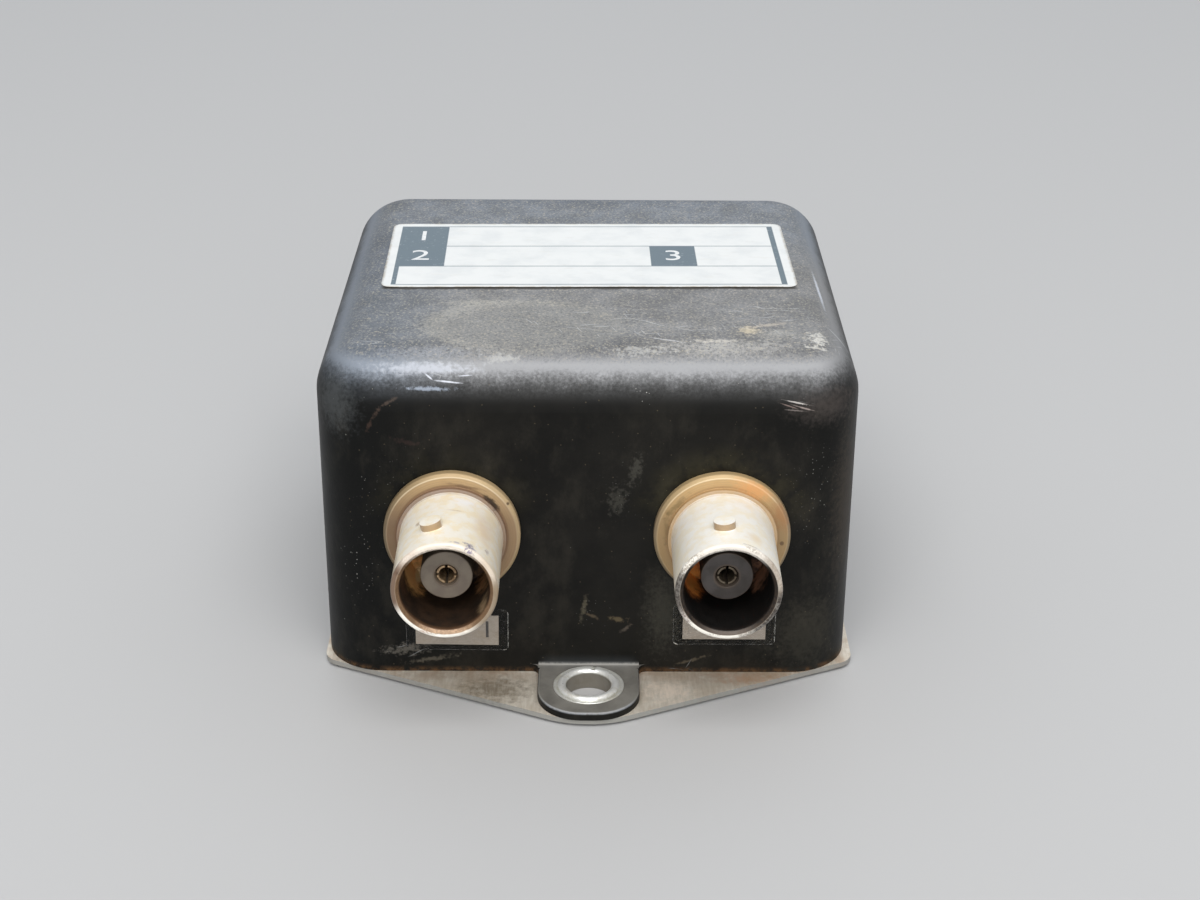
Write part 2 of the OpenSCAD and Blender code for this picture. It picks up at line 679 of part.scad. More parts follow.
module circuit_board() color("#3f6b46") difference() {
    translate([board_x0, board_y0, board_under])
        cube([board_x1 - board_x0, board_y1 - board_y0, board_t]);
    for (p = screw_places)
        translate([p[0], p[1], board_under - over])
            cylinder(r = screw_d / 2 + screw_gap, h = board_t + 2 * over);
    for (x = [left_x, right_x]) lead_hole(x, port_lead_y);
    for (x = [left_tag_x, right_tag_x]) lead_hole(x, ground_lead_y);
    for (x = [-disc_side, disc_side], y = [-disc_lead_pitch / 2, disc_lead_pitch / 2])
        lead_hole(board_mid[0] + x, disc_y + y);
    for (x = [-resistor_reach, resistor_reach]) lead_hole(board_mid[0] + x, resistor_y);
    for (p = [winding_start, winding_stop]) lead_hole(p[0], p[1]);
}

// Board screws: four alike, put in from below
module board_screws() color("#9a9a96")
    for (p = screw_places)
        translate([p[0], p[1], board_under]) {
            cylinder(d = screw_d, h = screw_l);
            difference() {
                translate([0, 0, -screw_head_h]) cylinder(d = screw_head_d, h = screw_head_h);
                translate([-screw_head_d, -screw_slot_w / 2, -screw_head_h - over])
                    cube([2 * screw_head_d, screw_slot_w, screw_head_h / 2 + over]);
            }
        }

module ring_core() color("#3a3b3d") translate([board_mid[0], core_y, core_z])
    rotate_extrude() translate([core_mid_r, 0])
        rounded_rectangle((core_od - core_id) / 2, core_h, core_edge_r);

module core_winding() color("#b4682e") tube_round_core(winding_path, wire_d / 2, 6);

// Resistor: a body with rounded ends, its leads bent up into the board
module balance_resistor() color("#b98d5a")
    translate([board_mid[0], resistor_y, board_under - winding_gap - resistor_d / 2]) {
        rotate([0, 90, 0]) rotate_extrude() intersection() {
            rounded_rectangle(resistor_d, resistor_l, resistor_d / 4);
            translate([0, -resistor_l / 2]) square([resistor_d, resistor_l]);
        }
        for (turn = [-90, 90]) rotate(turn)
            bent_wire(resistor_reach, winding_gap + resistor_d / 2 + board_t + lead_end);
    }

// Disc capacitor: a round disc with rounded edges, hanging from two straight leads
module disc_capacitor(x) color("#c7843c") translate([board_mid[0] + x, disc_y, board_under]) {
    drop = disc_d / 2 + disc_gap;
    translate([0, 0, -drop]) rotate([0, 90, 0]) rotate_extrude() intersection() {
        rounded_rectangle(disc_d, disc_t, disc_t / 3);
        translate([0, -disc_t / 2]) square([disc_d, disc_t]);
    }
    for (y = [-disc_lead_pitch / 2, disc_lead_pitch / 2])
        translate([0, y, -drop]) cylinder(d = lead_d, h = drop + board_t + lead_end);
}

module left_capacitor() disc_capacitor(-disc_side);

module right_capacitor() disc_capacitor(disc_side);

// Port lead: from inside the solder cup, back and up to the board
module port_lead(x) color("#c9b27c") {
    start = front_y - cup_back - cup_depth + cup_end_gap;
    translate([x, start, jack_z]) bent_wire(port_lead_y - start, board_top + lead_end - jack_z);
}

module left_port_lead() port_lead(left_x);

module right_port_lead() port_lead(right_x);

// Ground lead: from the solder tag's hole, back past the nut and up to the board
module ground_lead(x) color("#a9aaa5") {
    translate([x, inner_front_y, tag_hole_z])
        bent_wire(ground_lead_y - inner_front_y, board_top + lead_end - tag_hole_z);
}

module left_ground_lead() ground_lead(left_tag_x);

module right_ground_lead() ground_lead(right_tag_x);

module nameplate() color("#e9eaec") translate([block_shift, nameplate_back, block_top]) rotate(nameplate_turn)
    linear_extrude(nameplate_t) rounded_rectangle(nameplate_w, nameplate_d, nameplate_r);

// Paper slip under a jack, and the clear film that covers it and is stuck down all round
module at_slip(x, drop, turn) {
    translate([x, front_y, jack_z - drop]) rotate([90, 0, 0]) rotate(turn) children();
}

module slip() color("#b9b7b8") linear_extrude(slip_t) square([slip_w, slip_h], center = true);

module slip_film() color("#8f9296") difference() {
    linear_extrude(slip_t + film_t) rounded_rectangle(film_w, film_h, film_r);
    translate([0, 0, -over]) linear_extrude(slip_t + over)
        square([slip_w + 2 * film_gap, slip_h + 2 * film_gap], center = true);
}

module left_port_slip() at_slip(left_x + left_slip_aside, left_slip_drop, left_slip_turn) slip();

module left_slip_film() at_slip(left_x + left_slip_aside, left_slip_drop, left_slip_turn) slip_film();

module right_port_slip() at_slip(right_x + right_slip_aside, right_slip_drop, 0) slip();

module right_slip_film() at_slip(right_x + right_slip_aside, right_slip_drop, 0) slip_film();

housing();
base_plate();
front_eyelet();
rear_eyelet();
left_jack_shell();
right_jack_shell();
left_insulator();
right_insulator();
left_contact();
right_contact();
left_solder_tag();
right_solder_tag();
left_lock_washer();
right_lock_washer();
left_jack_nut();
right_jack_nut();
circuit_board();
board_screws();
ring_core();
core_winding();
balance_resistor();
left_capacitor();
right_capacitor();
left_port_lead();
right_port_lead();
left_ground_lead();
right_ground_lead();
nameplate();
left_port_slip();
right_port_slip();
left_slip_film();
right_slip_film();
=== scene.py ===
"""Dual port coupler: the looks of a small black moulded block with two bayonet jacks in its front.

Sizes and places are millimetres in the part's frame: X to the right, Y to the back, Z up, with the
origin on the seating plane, midway between the two mounting holes. A mesh becomes metres when made.
"""

import math
from collections import namedtuple

import bmesh
import bpy
from mathutils import Matrix, Vector, noise


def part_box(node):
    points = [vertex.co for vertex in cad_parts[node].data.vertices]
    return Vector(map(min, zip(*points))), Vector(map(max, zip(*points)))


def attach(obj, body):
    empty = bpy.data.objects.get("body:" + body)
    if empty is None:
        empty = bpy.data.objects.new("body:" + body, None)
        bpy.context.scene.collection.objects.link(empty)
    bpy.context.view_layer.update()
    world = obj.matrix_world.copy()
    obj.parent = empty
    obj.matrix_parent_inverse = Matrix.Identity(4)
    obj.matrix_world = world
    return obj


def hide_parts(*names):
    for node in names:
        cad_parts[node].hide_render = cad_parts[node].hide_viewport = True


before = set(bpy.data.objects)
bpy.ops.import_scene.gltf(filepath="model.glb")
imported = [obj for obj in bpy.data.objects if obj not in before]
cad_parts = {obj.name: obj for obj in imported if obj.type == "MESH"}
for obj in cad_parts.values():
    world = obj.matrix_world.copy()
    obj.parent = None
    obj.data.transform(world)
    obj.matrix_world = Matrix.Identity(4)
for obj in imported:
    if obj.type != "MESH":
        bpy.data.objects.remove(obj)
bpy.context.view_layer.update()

MM = 0.001
BODY = "root"
BOXES = {name: [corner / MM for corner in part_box(name)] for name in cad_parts}

# A jack's lengths, counted forward from the back of its flange, and its radii
MOUTH = 11.6
SOCKET_FLOOR = 2.95
WEB_BACK = 2.05
TAIL_END = -8.0
ROLLED_EDGE = -7.6
BOSS_END = -8.6
CUP_END = -11.8
FLANGE_R, COLLAR_R, BARREL_R, TAIL_R, SOCKET_R = 6.45, 5.15, 4.83, 4.75, 4.06
BEVEL_R, RIM_R, LIP_R = FLANGE_R - 0.30, BARREL_R - 0.22, SOCKET_R + 0.30
INSULATOR_FACE = 8.58
INSULATOR_R, NOSE_R, BOSS_R, COUNTERSINK_R = 3.3, 2.385, 1.8, 1.10
PIN_GAP = 0.03
CONTACT_FRONT = 8.43
TINE_ROOT = 4.43
SHANK_FRONT = 2.43
CONTACT_R, BORE_R, SHANK_R, CUP_R, CUP_BORE_R, CUP_DEPTH = 0.95, 0.69, 1.1, 1.0, 0.6, 2.4
LUG_BACK, LUG_R, LUG_REACH = 3.55, 1.015, 5.5
LUG_TURN = {"left": 14.5, "right": 4.0}

# The eyelets' section, from the seating plane up, and the split in their curl
EYELET_BORE_R, EYELET_WALL, CURL_R, TAB_TOP = 2.15, 0.3, 0.42, 1.6
EYELET_FLANGE_R, EYELET_FLANGE_T, LIP_T, LIP_W = 3.5, 0.3, 0.15, 0.4
CURL_SEAT = 0.02
SPLIT_ANGLE, SPLIT_HALF_W, SPLIT_DEPTH = 80.0, 0.16, 0.92

# The base plate's edge falls away by the slope from its reach along the middle line
NOSE_REACH, NOSE_SLOPE = 36.0, 0.4621

# The nameplate, the slips under the jacks and the films over them
PLATE_W, PLATE_D, PLATE_CORNER, PLATE_TURN = 41.4, 19.1, 1.0, 0.86
FOIL_T, INK_T, INK_LIFT = 0.05, 0.008, 0.010
SLIP_W, SLIP_H = 8.0, 3.2
FILM_W, FILM_H, FILM_CORNER, FILM_CHIP_SLANT = 9.9, 4.5, 0.5, 0.55
FILM_TURN = {"left": -0.6, "right": 0.0}


def low(node):
    """The lowest corner of a CAD node, in millimetres."""
    return BOXES[node][0]


def high(node):
    return BOXES[node][1]


def middle(node):
    return (low(node) + high(node)) / 2


def tint(red, green, blue):
    """The scene colour of a display colour given from 0 to 255."""
    parts = [c / 255 for c in (red, green, blue)]
    return tuple(c / 12.92 if c < 0.04045 else ((c + 0.055) / 1.055) ** 2.4 for c in parts) + (1.0,)


# Node trees

class Paint:
    """Adds nodes to one tree and joins them."""

    def __init__(self, tree):
        self.tree = tree

    def put(self, kind, inputs=None, **settings):
        node = self.tree.nodes.new(kind)
        for name, value in settings.items():
            setattr(node, name, value)
        for name, value in (inputs or {}).items():
            self.feed(node.inputs[name], value)
        return node

    def feed(self, socket, value):
        if isinstance(value, bpy.types.NodeSocket):
            self.tree.links.new(value, socket)
        else:
            socket.default_value = value

    def calc(self, operation, first, second=0.0, third=0.0):
        return self.put("ShaderNodeMath", {0: first, 1: second, 2: third}, operation=operation).outputs[0]

    def times(self, first, *others):
        """The product of all the values."""
        for other in others:
            first = self.calc("MULTIPLY", first, other)
        return first

    def highest(self, values):
        """The highest of the values."""
        first, *others = values
        for other in others:
            first = self.calc("MAXIMUM", first, other)
        return first

    def vector(self, operation, first, second=(0, 0, 0)):
        return self.put("ShaderNodeVectorMath", {0: first, 1: second}, operation=operation).outputs[0]

    def length(self, vector):
        return self.put("ShaderNodeVectorMath", {0: vector}, operation="LENGTH").outputs["Value"]

    def parts(self, vector):
        return tuple(self.put("ShaderNodeSeparateXYZ", {0: vector}).outputs)

    def join(self, x, y, z):
        return self.put("ShaderNodeCombineXYZ", {0: x, 1: y, 2: z}).outputs[0]

    def from_axis(self, x, z):
        """The distance from an axis along Y, from which x and z are counted."""
        return self.length(self.join(x, 0.0, z))

    def own_place(self, point, centre=(0, 0, 0), turn=(0, 0, 0), size=(1, 1, 1)):
        """A point counted from a centre, along axes turned by some angles and measured in sizes."""
        inputs = {"Vector": point, "Location": centre, "Rotation": turn, "Scale": size}
        return self.put("ShaderNodeMapping", inputs, vector_type="TEXTURE").outputs[0]

    def fade(self, value, start, stop, low=0.0, high=1.0):
        """A soft step: low where the value is at start, high where it is at stop."""
        return self.put(
            "ShaderNodeMapRange",
            {"Value": value, "From Min": start, "From Max": stop, "To Min": low, "To Max": high},
            interpolation_type="SMOOTHSTEP",
        ).outputs[0]

    def mix(self, share, under, over):
        return self.put("ShaderNodeMix", {0: share, 6: under, 7: over}, data_type="RGBA").outputs[2]

    def wash(self, colour, over, share, strength):
        """A colour with another laid over it: share says where, and strength how thickly."""
        return self.mix(self.times(share, strength), colour, over)

    def blend(self, share, under, over):
        return self.put("ShaderNodeMix", {0: share, 2: under, 3: over}, data_type="FLOAT").outputs[0]

    def curve(self, value, stops):
        """A smooth curve through (value, result) pairs, from 0 to 1."""
        node = self.put("ShaderNodeValToRGB", {"Fac": value})
        ramp = node.color_ramp
        ramp.interpolation = "CARDINAL"
        for place, result in stops[1:-1]:
            ramp.elements.new(place)
        for element, (place, result) in zip(ramp.elements, stops):
            element.position = place
            element.color = (result, result, result, 1)
        return node.outputs["Color"]

    def cloud(self, point, scale, detail=3.0, roughness=0.55):
        """Soft noise between 0 and 1, mostly near one half."""
        return self.put(
            "ShaderNodeTexNoise",
            {"Vector": point, "Scale": scale, "Detail": detail, "Roughness": roughness},
        ).outputs["Fac"]

    def millimetres(self):
        """The place on the part, in millimetres."""
        place = self.put("ShaderNodeTexCoord").outputs["Object"]
        return self.put("ShaderNodeVectorMath", {0: place, "Scale": 1 / MM}, operation="SCALE").outputs[0]

    def facing(self):
        """The way that the surface faces, as three parts from -1 to 1."""
        return self.parts(self.put("ShaderNodeNewGeometry").outputs["Normal"])

    def upward(self):
        """How much the surface faces up, from -1 to 1."""
        return self.facing()[2]

    def use(self, group, inputs, output=0):
        node = self.put("ShaderNodeGroup", node_tree=group)
        for name, value in inputs.items():
            self.feed(node.inputs[name], value)
        return node.outputs[output]

    def relief(self, height, size):
        """A bump whose full height is size, in millimetres."""
        return self.put("ShaderNodeBump", {"Height": height, "Distance": size * MM}).outputs[0]


def shared_group(name, build, outputs=("Mask",), **inputs):
    """A shader group that takes a point and some values, and gives a number for each output."""
    tree = bpy.data.node_groups.new(name, "ShaderNodeTree")
    for label, value in {"Point": (0, 0, 0), **inputs}.items():
        kind = "NodeSocketVector" if isinstance(value, tuple) else "NodeSocketFloat"
        tree.interface.new_socket(label, in_out="INPUT", socket_type=kind).default_value = value
    for label in outputs:
        tree.interface.new_socket(label, in_out="OUTPUT", socket_type="NodeSocketFloat")
    paint = Paint(tree)
    results = build(paint, tree.nodes.new("NodeGroupInput").outputs)
    ends = tree.nodes.new("NodeGroupOutput").inputs
    for label in outputs:
        paint.feed(ends[label], results[label])
    return tree


def spot_nodes(paint, entry):
    """A soft blot round a centre, longer one way than the other, with a ragged edge."""
    far = 2.5
    reach = paint.vector("MULTIPLY", entry["Reach"], (far, far, far))
    local = paint.own_place(entry["Point"], entry["Centre"], entry["Turn"], reach)
    near = paint.put("ShaderNodeTexGradient", {"Vector": local}, gradient_type="SPHERICAL").outputs["Fac"]
    distance = paint.calc("MULTIPLY_ADD", near, -far, far)
    rough = paint.calc("SUBTRACT", paint.cloud(entry["Point"], entry["Grain"], 4.0, 0.65), 0.5)
    ragged = paint.calc("MULTIPLY_ADD", rough, entry["Raggedness"], distance)
    inner = paint.calc("SUBTRACT", 1.0, entry["Softness"])
    return {"Mask": paint.fade(ragged, 1.0, inner)}


def speck_nodes(paint, entry):
    """Small round specks of uneven size, scattered through space."""
    scale = paint.calc("DIVIDE", 1.0, entry["Spacing"])
    cells = paint.put("ShaderNodeTexVoronoi", {"Vector": entry["Point"], "Scale": scale})
    chance = paint.parts(cells.outputs["Color"])
    share_of_cell = paint.calc("DIVIDE", entry["Size"], entry["Spacing"])
    size = paint.times(share_of_cell, paint.fade(chance[1], 0, 1, 0.4, 1.3))
    dot = paint.fade(cells.outputs["Distance"], size, paint.times(size, 0.5))
    kept = paint.calc("LESS_THAN", chance[0], entry["Share"])
    return {"Mask": paint.times(dot, kept)}


def scratch_nodes(paint, entry):
    """Short thin scratches, pointed at both ends, laid over front and top as if these were unrolled."""
    x, y, z = paint.parts(entry["Point"])
    bent = paint.times(paint.cloud(entry["Point"], 0.25, 1.0, 0.4), 3.0)
    aside = paint.calc("MULTIPLY_ADD", y, 0.9, x)
    upward = paint.calc("ADD", paint.calc("MULTIPLY_ADD", y, 0.8, z), bent)
    reach = 0.10
    length = paint.calc("DIVIDE", entry["Length"], 2 * reach)
    width = paint.calc("DIVIDE", entry["Width"], 2 * reach)
    local = paint.own_place(
        paint.join(aside, upward, 0.0),
        turn=paint.join(0.0, 0.0, entry["Turn"]),
        size=paint.join(length, width, 1.0))
    cells = paint.put("ShaderNodeTexVoronoi", {"Vector": local, "Scale": 1.0}, voronoi_dimensions="2D")
    kept = paint.calc("LESS_THAN", paint.parts(cells.outputs["Color"])[0], entry["Share"])
    line = paint.fade(cells.outputs["Distance"], reach, reach * 0.4)
    return {"Mask": paint.times(line, kept)}


def dust_nodes(paint, entry):
    """Dust that has settled where the surface faces up."""
    lying = paint.fade(paint.upward(), entry["Low"], entry["High"])
    patches = paint.cloud(entry["Point"], entry["Patches"], 5.0, 0.6)
    uneven = paint.calc("MULTIPLY_ADD", paint.calc("SUBTRACT", patches, 0.5), entry["Unevenness"], 1.0)
    return {"Mask": paint.times(lying, uneven)}


def turning_nodes(paint, entry):
    """Rings left by the lathe on a piece turned about the Y axis, and how worn they are."""
    x, y, z = paint.parts(entry["Point"])
    rings = paint.cloud(paint.join(paint.from_axis(x, z), y, 0.0), entry["Rings"], 2.0, 0.7)
    wear = paint.cloud(entry["Point"], 0.9, 4.0, 0.6)
    return {"Height": rings, "Wear": wear}


def grain_nodes(paint, entry):
    """Fine moulded grain over a slow waviness."""
    fine = paint.cloud(entry["Point"], entry["Fine"], 2.0, 0.5)
    broad = paint.cloud(entry["Point"], entry["Broad"], 2.0, 0.5)
    return {"Height": paint.calc("MULTIPLY_ADD", broad, entry["Waviness"], fine)}


def field_nodes(paint, entry):
    """A printed rectangle, crisp at its edge, in the nameplate's own place."""
    away = paint.vector("ABSOLUTE", paint.vector("SUBTRACT", entry["Point"], entry["Centre"]))
    beyond = paint.parts(paint.vector("SUBTRACT", away, entry["Half"]))
    distance = paint.calc("MAXIMUM", beyond[0], beyond[1])
    return {"Mask": paint.fade(distance, entry["Blur"], paint.times(entry["Blur"], -1.0))}


SPOT = shared_group(
    "Ragged spot", spot_nodes,
    Centre=(0, 0, 0), Reach=(1, 1, 1), Turn=(0, 0, 0), Softness=0.6, Raggedness=1.0, Grain=0.8)
SPECKS = shared_group("Scattered specks", speck_nodes, Spacing=2.0, Size=0.15, Share=0.4)
SCRATCHES = shared_group("Fine scratches", scratch_nodes, Turn=0.0, Length=3.0, Width=0.1, Share=0.5)
DUST = shared_group("Settled dust", dust_nodes, Low=0.2, High=0.95, Patches=0.15, Unevenness=1.0)
TURNING = shared_group("Turning marks", turning_nodes, ("Height", "Wear"), Rings=8.0)
GRAIN = shared_group("Surface grain", grain_nodes, ("Height",), Fine=6.0, Broad=0.2, Waviness=2.0)
FIELD = shared_group("Printed field", field_nodes, Centre=(0, 0, 0), Half=(1, 1, 1), Blur=0.03)


def finish_of(name, build, plain=None):
    """A material with one Principled shader, fed by what build gives and by plain values."""
    material = bpy.data.materials.new(name)
    material.use_nodes = True
    paint = Paint(material.node_tree)
    shader = material.node_tree.nodes["Principled BSDF"]
    for label, value in {**build(paint), **(plain or {})}.items():
        paint.feed(shader.inputs[label], value)
    return material


# Finishes

# How much dust and painted highlight the moulding shows by how far it faces up: dark on the front, palest on
# the rounded edge, where the highlight is painted
DUST_AND_HIGHLIGHT = [
    (0.0, 0.0), (0.24, 0.02), (0.41, 0.09), (0.50, 0.19), (0.60, 0.40), (0.68, 0.65), (0.76, 0.82),
    (0.82, 0.74), (0.90, 0.52), (0.96, 0.42), (1.0, 0.42),
]

# Marks on the block: centre, reach, turn in degrees (about Z on the top and Y on the front), softness,
# raggedness, colour, strength
TOP_MARKS_AND_SHADE = [
    ((-6.2, -16.4, 33.5), (10.6, 6.8, 3), 0, 0.14, 0.5, tint(208, 204, 192), 0.24),
    ((-4.7, -16.9, 33.5), (10.8, 6.8, 3), 0, 0.30, 1.0, tint(108, 111, 116), 0.46),
    ((-11.5, -10.6, 33.5), (4.0, 1.2, 3), 8, 0.9, 2.4, tint(196, 192, 180), 0.28),
    ((6.5, -16.4, 33.5), (5.6, 2.2, 3), 8, 0.95, 2.2, tint(196, 196, 196), 0.20),
    ((12.5, -21.4, 33.3), (8.6, 1.9, 3), 0, 0.95, 2.4, tint(206, 204, 200), 0.40),
    ((17.5, -18.6, 33.5), (3.4, 2.0, 3), 0, 0.95, 2.2, tint(204, 202, 196), 0.28),
    ((-15.0, -23.85, 32.1), (6.2, 2.0, 0.62), 0, 0.9, 2.2, tint(216, 220, 230), 0.50),
    ((-14.6, -22.2, 33.1), (6.0, 1.2, 1.0), 0, 0.95, 2.4, tint(190, 194, 202), 0.26),
    ((14.9, -17.7, 33.5), (1.3, 1.3, 3), 0, 0.8, 3.0, tint(222, 208, 180), 0.62),
    ((17.0, -16.2, 33.5), (2.6, 0.5, 3), 16, 0.8, 2.6, tint(214, 202, 186), 0.42),
    ((7.0, -20.0, 33.5), (2.3, 0.22, 3), -20, 0.7, 1.6, tint(214, 214, 216), 0.60),
    ((11.8, -20.2, 33.5), (2.4, 0.7, 3), 0, 0.8, 3.4, tint(218, 212, 202), 0.52),
    ((4.6, -22.0, 33.3), (3.6, 0.9, 3), 0, 0.9, 3.4, tint(206, 206, 204), 0.42),
    ((-8.2, -22.9, 32.8), (2.0, 0.6, 3), 0, 0.9, 3.4, tint(214, 214, 212), 0.40),
    ((21.2, -19.4, 33.4), (1.2, 1.9, 3), -6, 0.8, 3.4, tint(224, 222, 216), 0.72),
    ((20.9, -21.3, 33.3), (1.8, 0.22, 3), 4, 0.7, 1.6, tint(214, 212, 206), 0.60),
    ((23.6, -16.4, 32.2), (0.20, 2.2, 3), 42, 0.7, 1.0, tint(206, 208, 212), 0.45),
    ((22.75, -5.2, 32.8), (0.22, 6.8, 3), 1.4, 0.8, 0.8, tint(212, 218, 230), 0.70),
    # Painted shade on the rounded left and back edges
    ((-21.5, 2.0, 33.0), (3.4, 15.0, 3), 2, 0.9, 1.4, tint(84, 92, 104), 0.38),
    ((0.0, 21.0, 33.0), (24.0, 3.0, 3), 0, 0.9, 1.4, tint(84, 94, 108), 0.40),
]
FRONT_MARKS = [
    ((-23.6, -24.0, 29.0), (3.4, 4.0, 4.2), 0, 0.95, 1.4, tint(122, 126, 128), 0.24),
    ((21.5, -24.0, 29.0), (5.0, 4.0, 2.6), 0, 0.95, 1.2, tint(126, 116, 112), 0.20),
    ((-14.75, -24.35, 31.5), (0.55, 2.0, 0.10), 34, 0.7, 0.6, tint(218, 222, 232), 0.90),
    ((-13.0, -24.6, 31.12), (1.6, 2.0, 0.10), 5, 0.7, 0.8, tint(218, 222, 232), 0.90),
    ((-11.4, -24.3, 31.6), (0.9, 2.0, 0.07), -3, 0.7, 0.8, tint(214, 218, 228), 0.75),
    ((-14.6, -24.95, 30.55), (2.5, 2.0, 0.24), 0, 0.8, 2.6, tint(168, 178, 194), 0.70),
    ((-18.3, -25.2, 29.4), (1.2, 3.0, 0.20), -30, 0.9, 3.4, tint(130, 112, 100), 0.24),
    ((-19.6, -25.3, 28.3), (1.0, 3.0, 0.26), -52, 0.9, 3.4, tint(122, 100, 88), 0.22),
    ((-20.3, -25.3, 27.0), (0.9, 3.0, 0.22), -72, 0.9, 3.4, tint(116, 90, 78), 0.18),
    ((-17.0, -25.4, 25.4), (1.6, 2.0, 0.35), 12, 0.9, 3.4, tint(104, 78, 72), 0.12),
    ((18.9, -25.3, 29.5), (1.4, 2.0, 0.09), 11, 0.7, 1.2, tint(206, 200, 196), 0.78),
    ((19.7, -25.3, 28.95), (1.4, 2.0, 0.09), 16, 0.7, 1.2, tint(178, 164, 158), 0.62),
    ((18.3, -25.3, 29.15), (1.2, 2.0, 0.08), 18, 0.7, 1.2, tint(160, 140, 134), 0.50),
    ((18.8, -25.4, 28.75), (1.3, 2.0, 0.09), 5, 0.7, 1.4, tint(160, 150, 146), 0.42),
    ((-0.5, -25.4, 7.9), (0.34, 2.0, 1.9), 12, 0.9, 2.4, tint(132, 124, 104), 0.26),
    ((0.3, -25.4, 7.0), (0.9, 2.0, 0.22), 26, 0.9, 2.4, tint(132, 116, 94), 0.26),
    ((2.7, -25.4, 6.7), (1.1, 2.0, 0.45), 8, 0.9, 3.0, tint(140, 124, 94), 0.30),
    ((3.5, -25.4, 5.6), (0.9, 2.0, 0.28), -36, 0.9, 2.6, tint(136, 124, 112), 0.28),
    ((-17.6, -25.4, 3.3), (2.6, 2.0, 0.8), -8, 0.95, 3.6, tint(146, 140, 130), 0.32),
    ((-15.2, -25.4, 2.2), (3.0, 2.0, 0.34), -10, 0.9, 3.2, tint(136, 128, 114), 0.30),
    ((9.6, -25.4, 2.0), (2.4, 2.0, 0.22), -18, 0.9, 3.0, tint(128, 116, 98), 0.30),
    ((4.3, -25.4, 22.6), (0.7, 2.0, 2.0), 14, 0.95, 3.6, tint(104, 102, 94), 0.26),
    ((2.6, -25.4, 19.4), (1.1, 2.0, 1.9), 10, 0.95, 3.6, tint(100, 98, 90), 0.24),
    ((7.2, -25.4, 7.5), (2.6, 2.0, 6.0), 0, 0.95, 1.8, tint(96, 94, 84), 0.22),
    ((21.0, -25.0, 5.0), (6.0, 3.0, 5.5), 0, 0.95, 2.0, tint(96, 92, 80), 0.14),
    ((24.4, -22.5, 18.0), (2.6, 4.0, 13.0), 0, 0.95, 1.8, tint(98, 86, 74), 0.22),
]

# Where fine white specks and where short scratches lie close together: centre, reach, strength
SPECKLED = [
    ((4.9, -25.0, 30.4), (1.3, 2.0, 1.0), 0.95), ((5.2, -25.3, 29.3), (1.0, 2.0, 0.8), 0.85),
    ((9.8, -24.9, 30.6), (0.9, 2.0, 0.8), 0.95), ((12.6, -24.4, 31.4), (1.5, 2.0, 0.6), 0.90),
    ((13.3, -25.0, 30.5), (1.0, 2.0, 0.7), 0.60), ((22.7, -23.4, 31.2), (0.9, 2.0, 0.8), 0.70),
    ((19.0, -25.0, 29.2), (2.2, 2.0, 0.9), 0.45), ((-18.6, -24.1, 31.8), (1.0, 2.0, 0.6), 0.80),
    ((-21.5, -25.0, 12.5), (3.4, 2.0, 5.0), 0.50), ((-18.0, -25.0, 20.0), (5.0, 2.0, 6.0), 0.45),
    ((2.5, -25.4, 19.5), (2.6, 2.0, 4.0), 0.40), ((-17.8, -25.4, 3.2), (3.0, 2.0, 1.1), 0.60),
    ((0.4, -25.4, 7.4), (2.2, 2.0, 2.2), 0.55), ((21.0, -25.0, 20.0), (3.0, 2.0, 8.0), 0.30),
    ((-8.2, -11.5, 33.5), (3.6, 4.4, 2), 0.70), ((10.0, -19.0, 33.5), (13.0, 4.0, 2), 0.60),
    ((-4.0, -10.0, 33.5), (18.0, 3.4, 2), 0.45),
]
SCRATCHED = [
    ((-12.4, -24.0, 31.9), (3.4, 2.5, 0.9), 0.55), ((19.2, -25.0, 29.0), (2.4, 2.0, 0.9), 0.30),
    ((4.0, -16.0, 33.5), (16.0, 4.6, 2), 0.95), ((17.0, -15.0, 33.5), (7.0, 6.0, 2), 0.80),
    ((-20.0, -20.0, 33.4), (3.0, 2.4, 2), 0.60), ((-16.8, -25.4, 3.0), (3.2, 2.0, 1.0), 0.35),
    ((22.0, -19.0, 33.0), (3.0, 4.0, 2), 0.80), ((9.5, -25.2, 1.6), (3.0, 2.0, 0.9), 0.30),
]

# The runs of short scratches: turn in radians, length, width, and the share of places that has one
SCRATCH_RUNS = [
    (0.12, 2.6, 0.10, 0.85), (-0.35, 3.4, 0.09, 0.80), (1.05, 1.6, 0.08, 0.50), (-0.08, 4.6, 0.10, 0.70),
]


def patch_of(paint, point, centre, reach, softness=0.8, raggedness=1.6, turn=(0, 0, 0), grain=1.6):
    """One ragged blot."""
    return paint.use(SPOT, {
        "Point": point, "Centre": centre, "Reach": reach, "Turn": turn,
        "Softness": softness, "Raggedness": raggedness, "Grain": grain})


def marks_of(paint, point, marks, about, grain):
    """Where each mark of a table lies, with its colour and its strength."""
    for centre, reach, degrees, softness, raggedness, colour, strength in marks:
        turn = tuple(math.radians(degrees) if axis == about else 0.0 for axis in "XYZ")
        yield patch_of(paint, point, centre, reach, softness, raggedness, turn, grain), colour, strength


def add_marks(paint, point, colour, marks, about):
    """Lays the marks over a colour, and gives the colour and how much of the surface they take."""
    shares = []
    for mask, mark_colour, strength in marks_of(paint, point, marks, about, grain=2.2):
        shares.append(paint.times(mask, strength))
        colour = paint.mix(shares[-1], colour, mark_colour)
    return colour, paint.highest(shares)


def close_together(paint, point, places):
    """How much each of some places gathers what lies thinly elsewhere."""
    return paint.highest(
        paint.times(patch_of(paint, point, centre, reach), strength) for centre, reach, strength in places)


def specks(paint, point, spacing, size, share):
    """Scattered specks: how far apart and how wide they are, and what share of their places is taken."""
    return paint.use(SPECKS, {"Point": point, "Spacing": spacing, "Size": size, "Share": share})


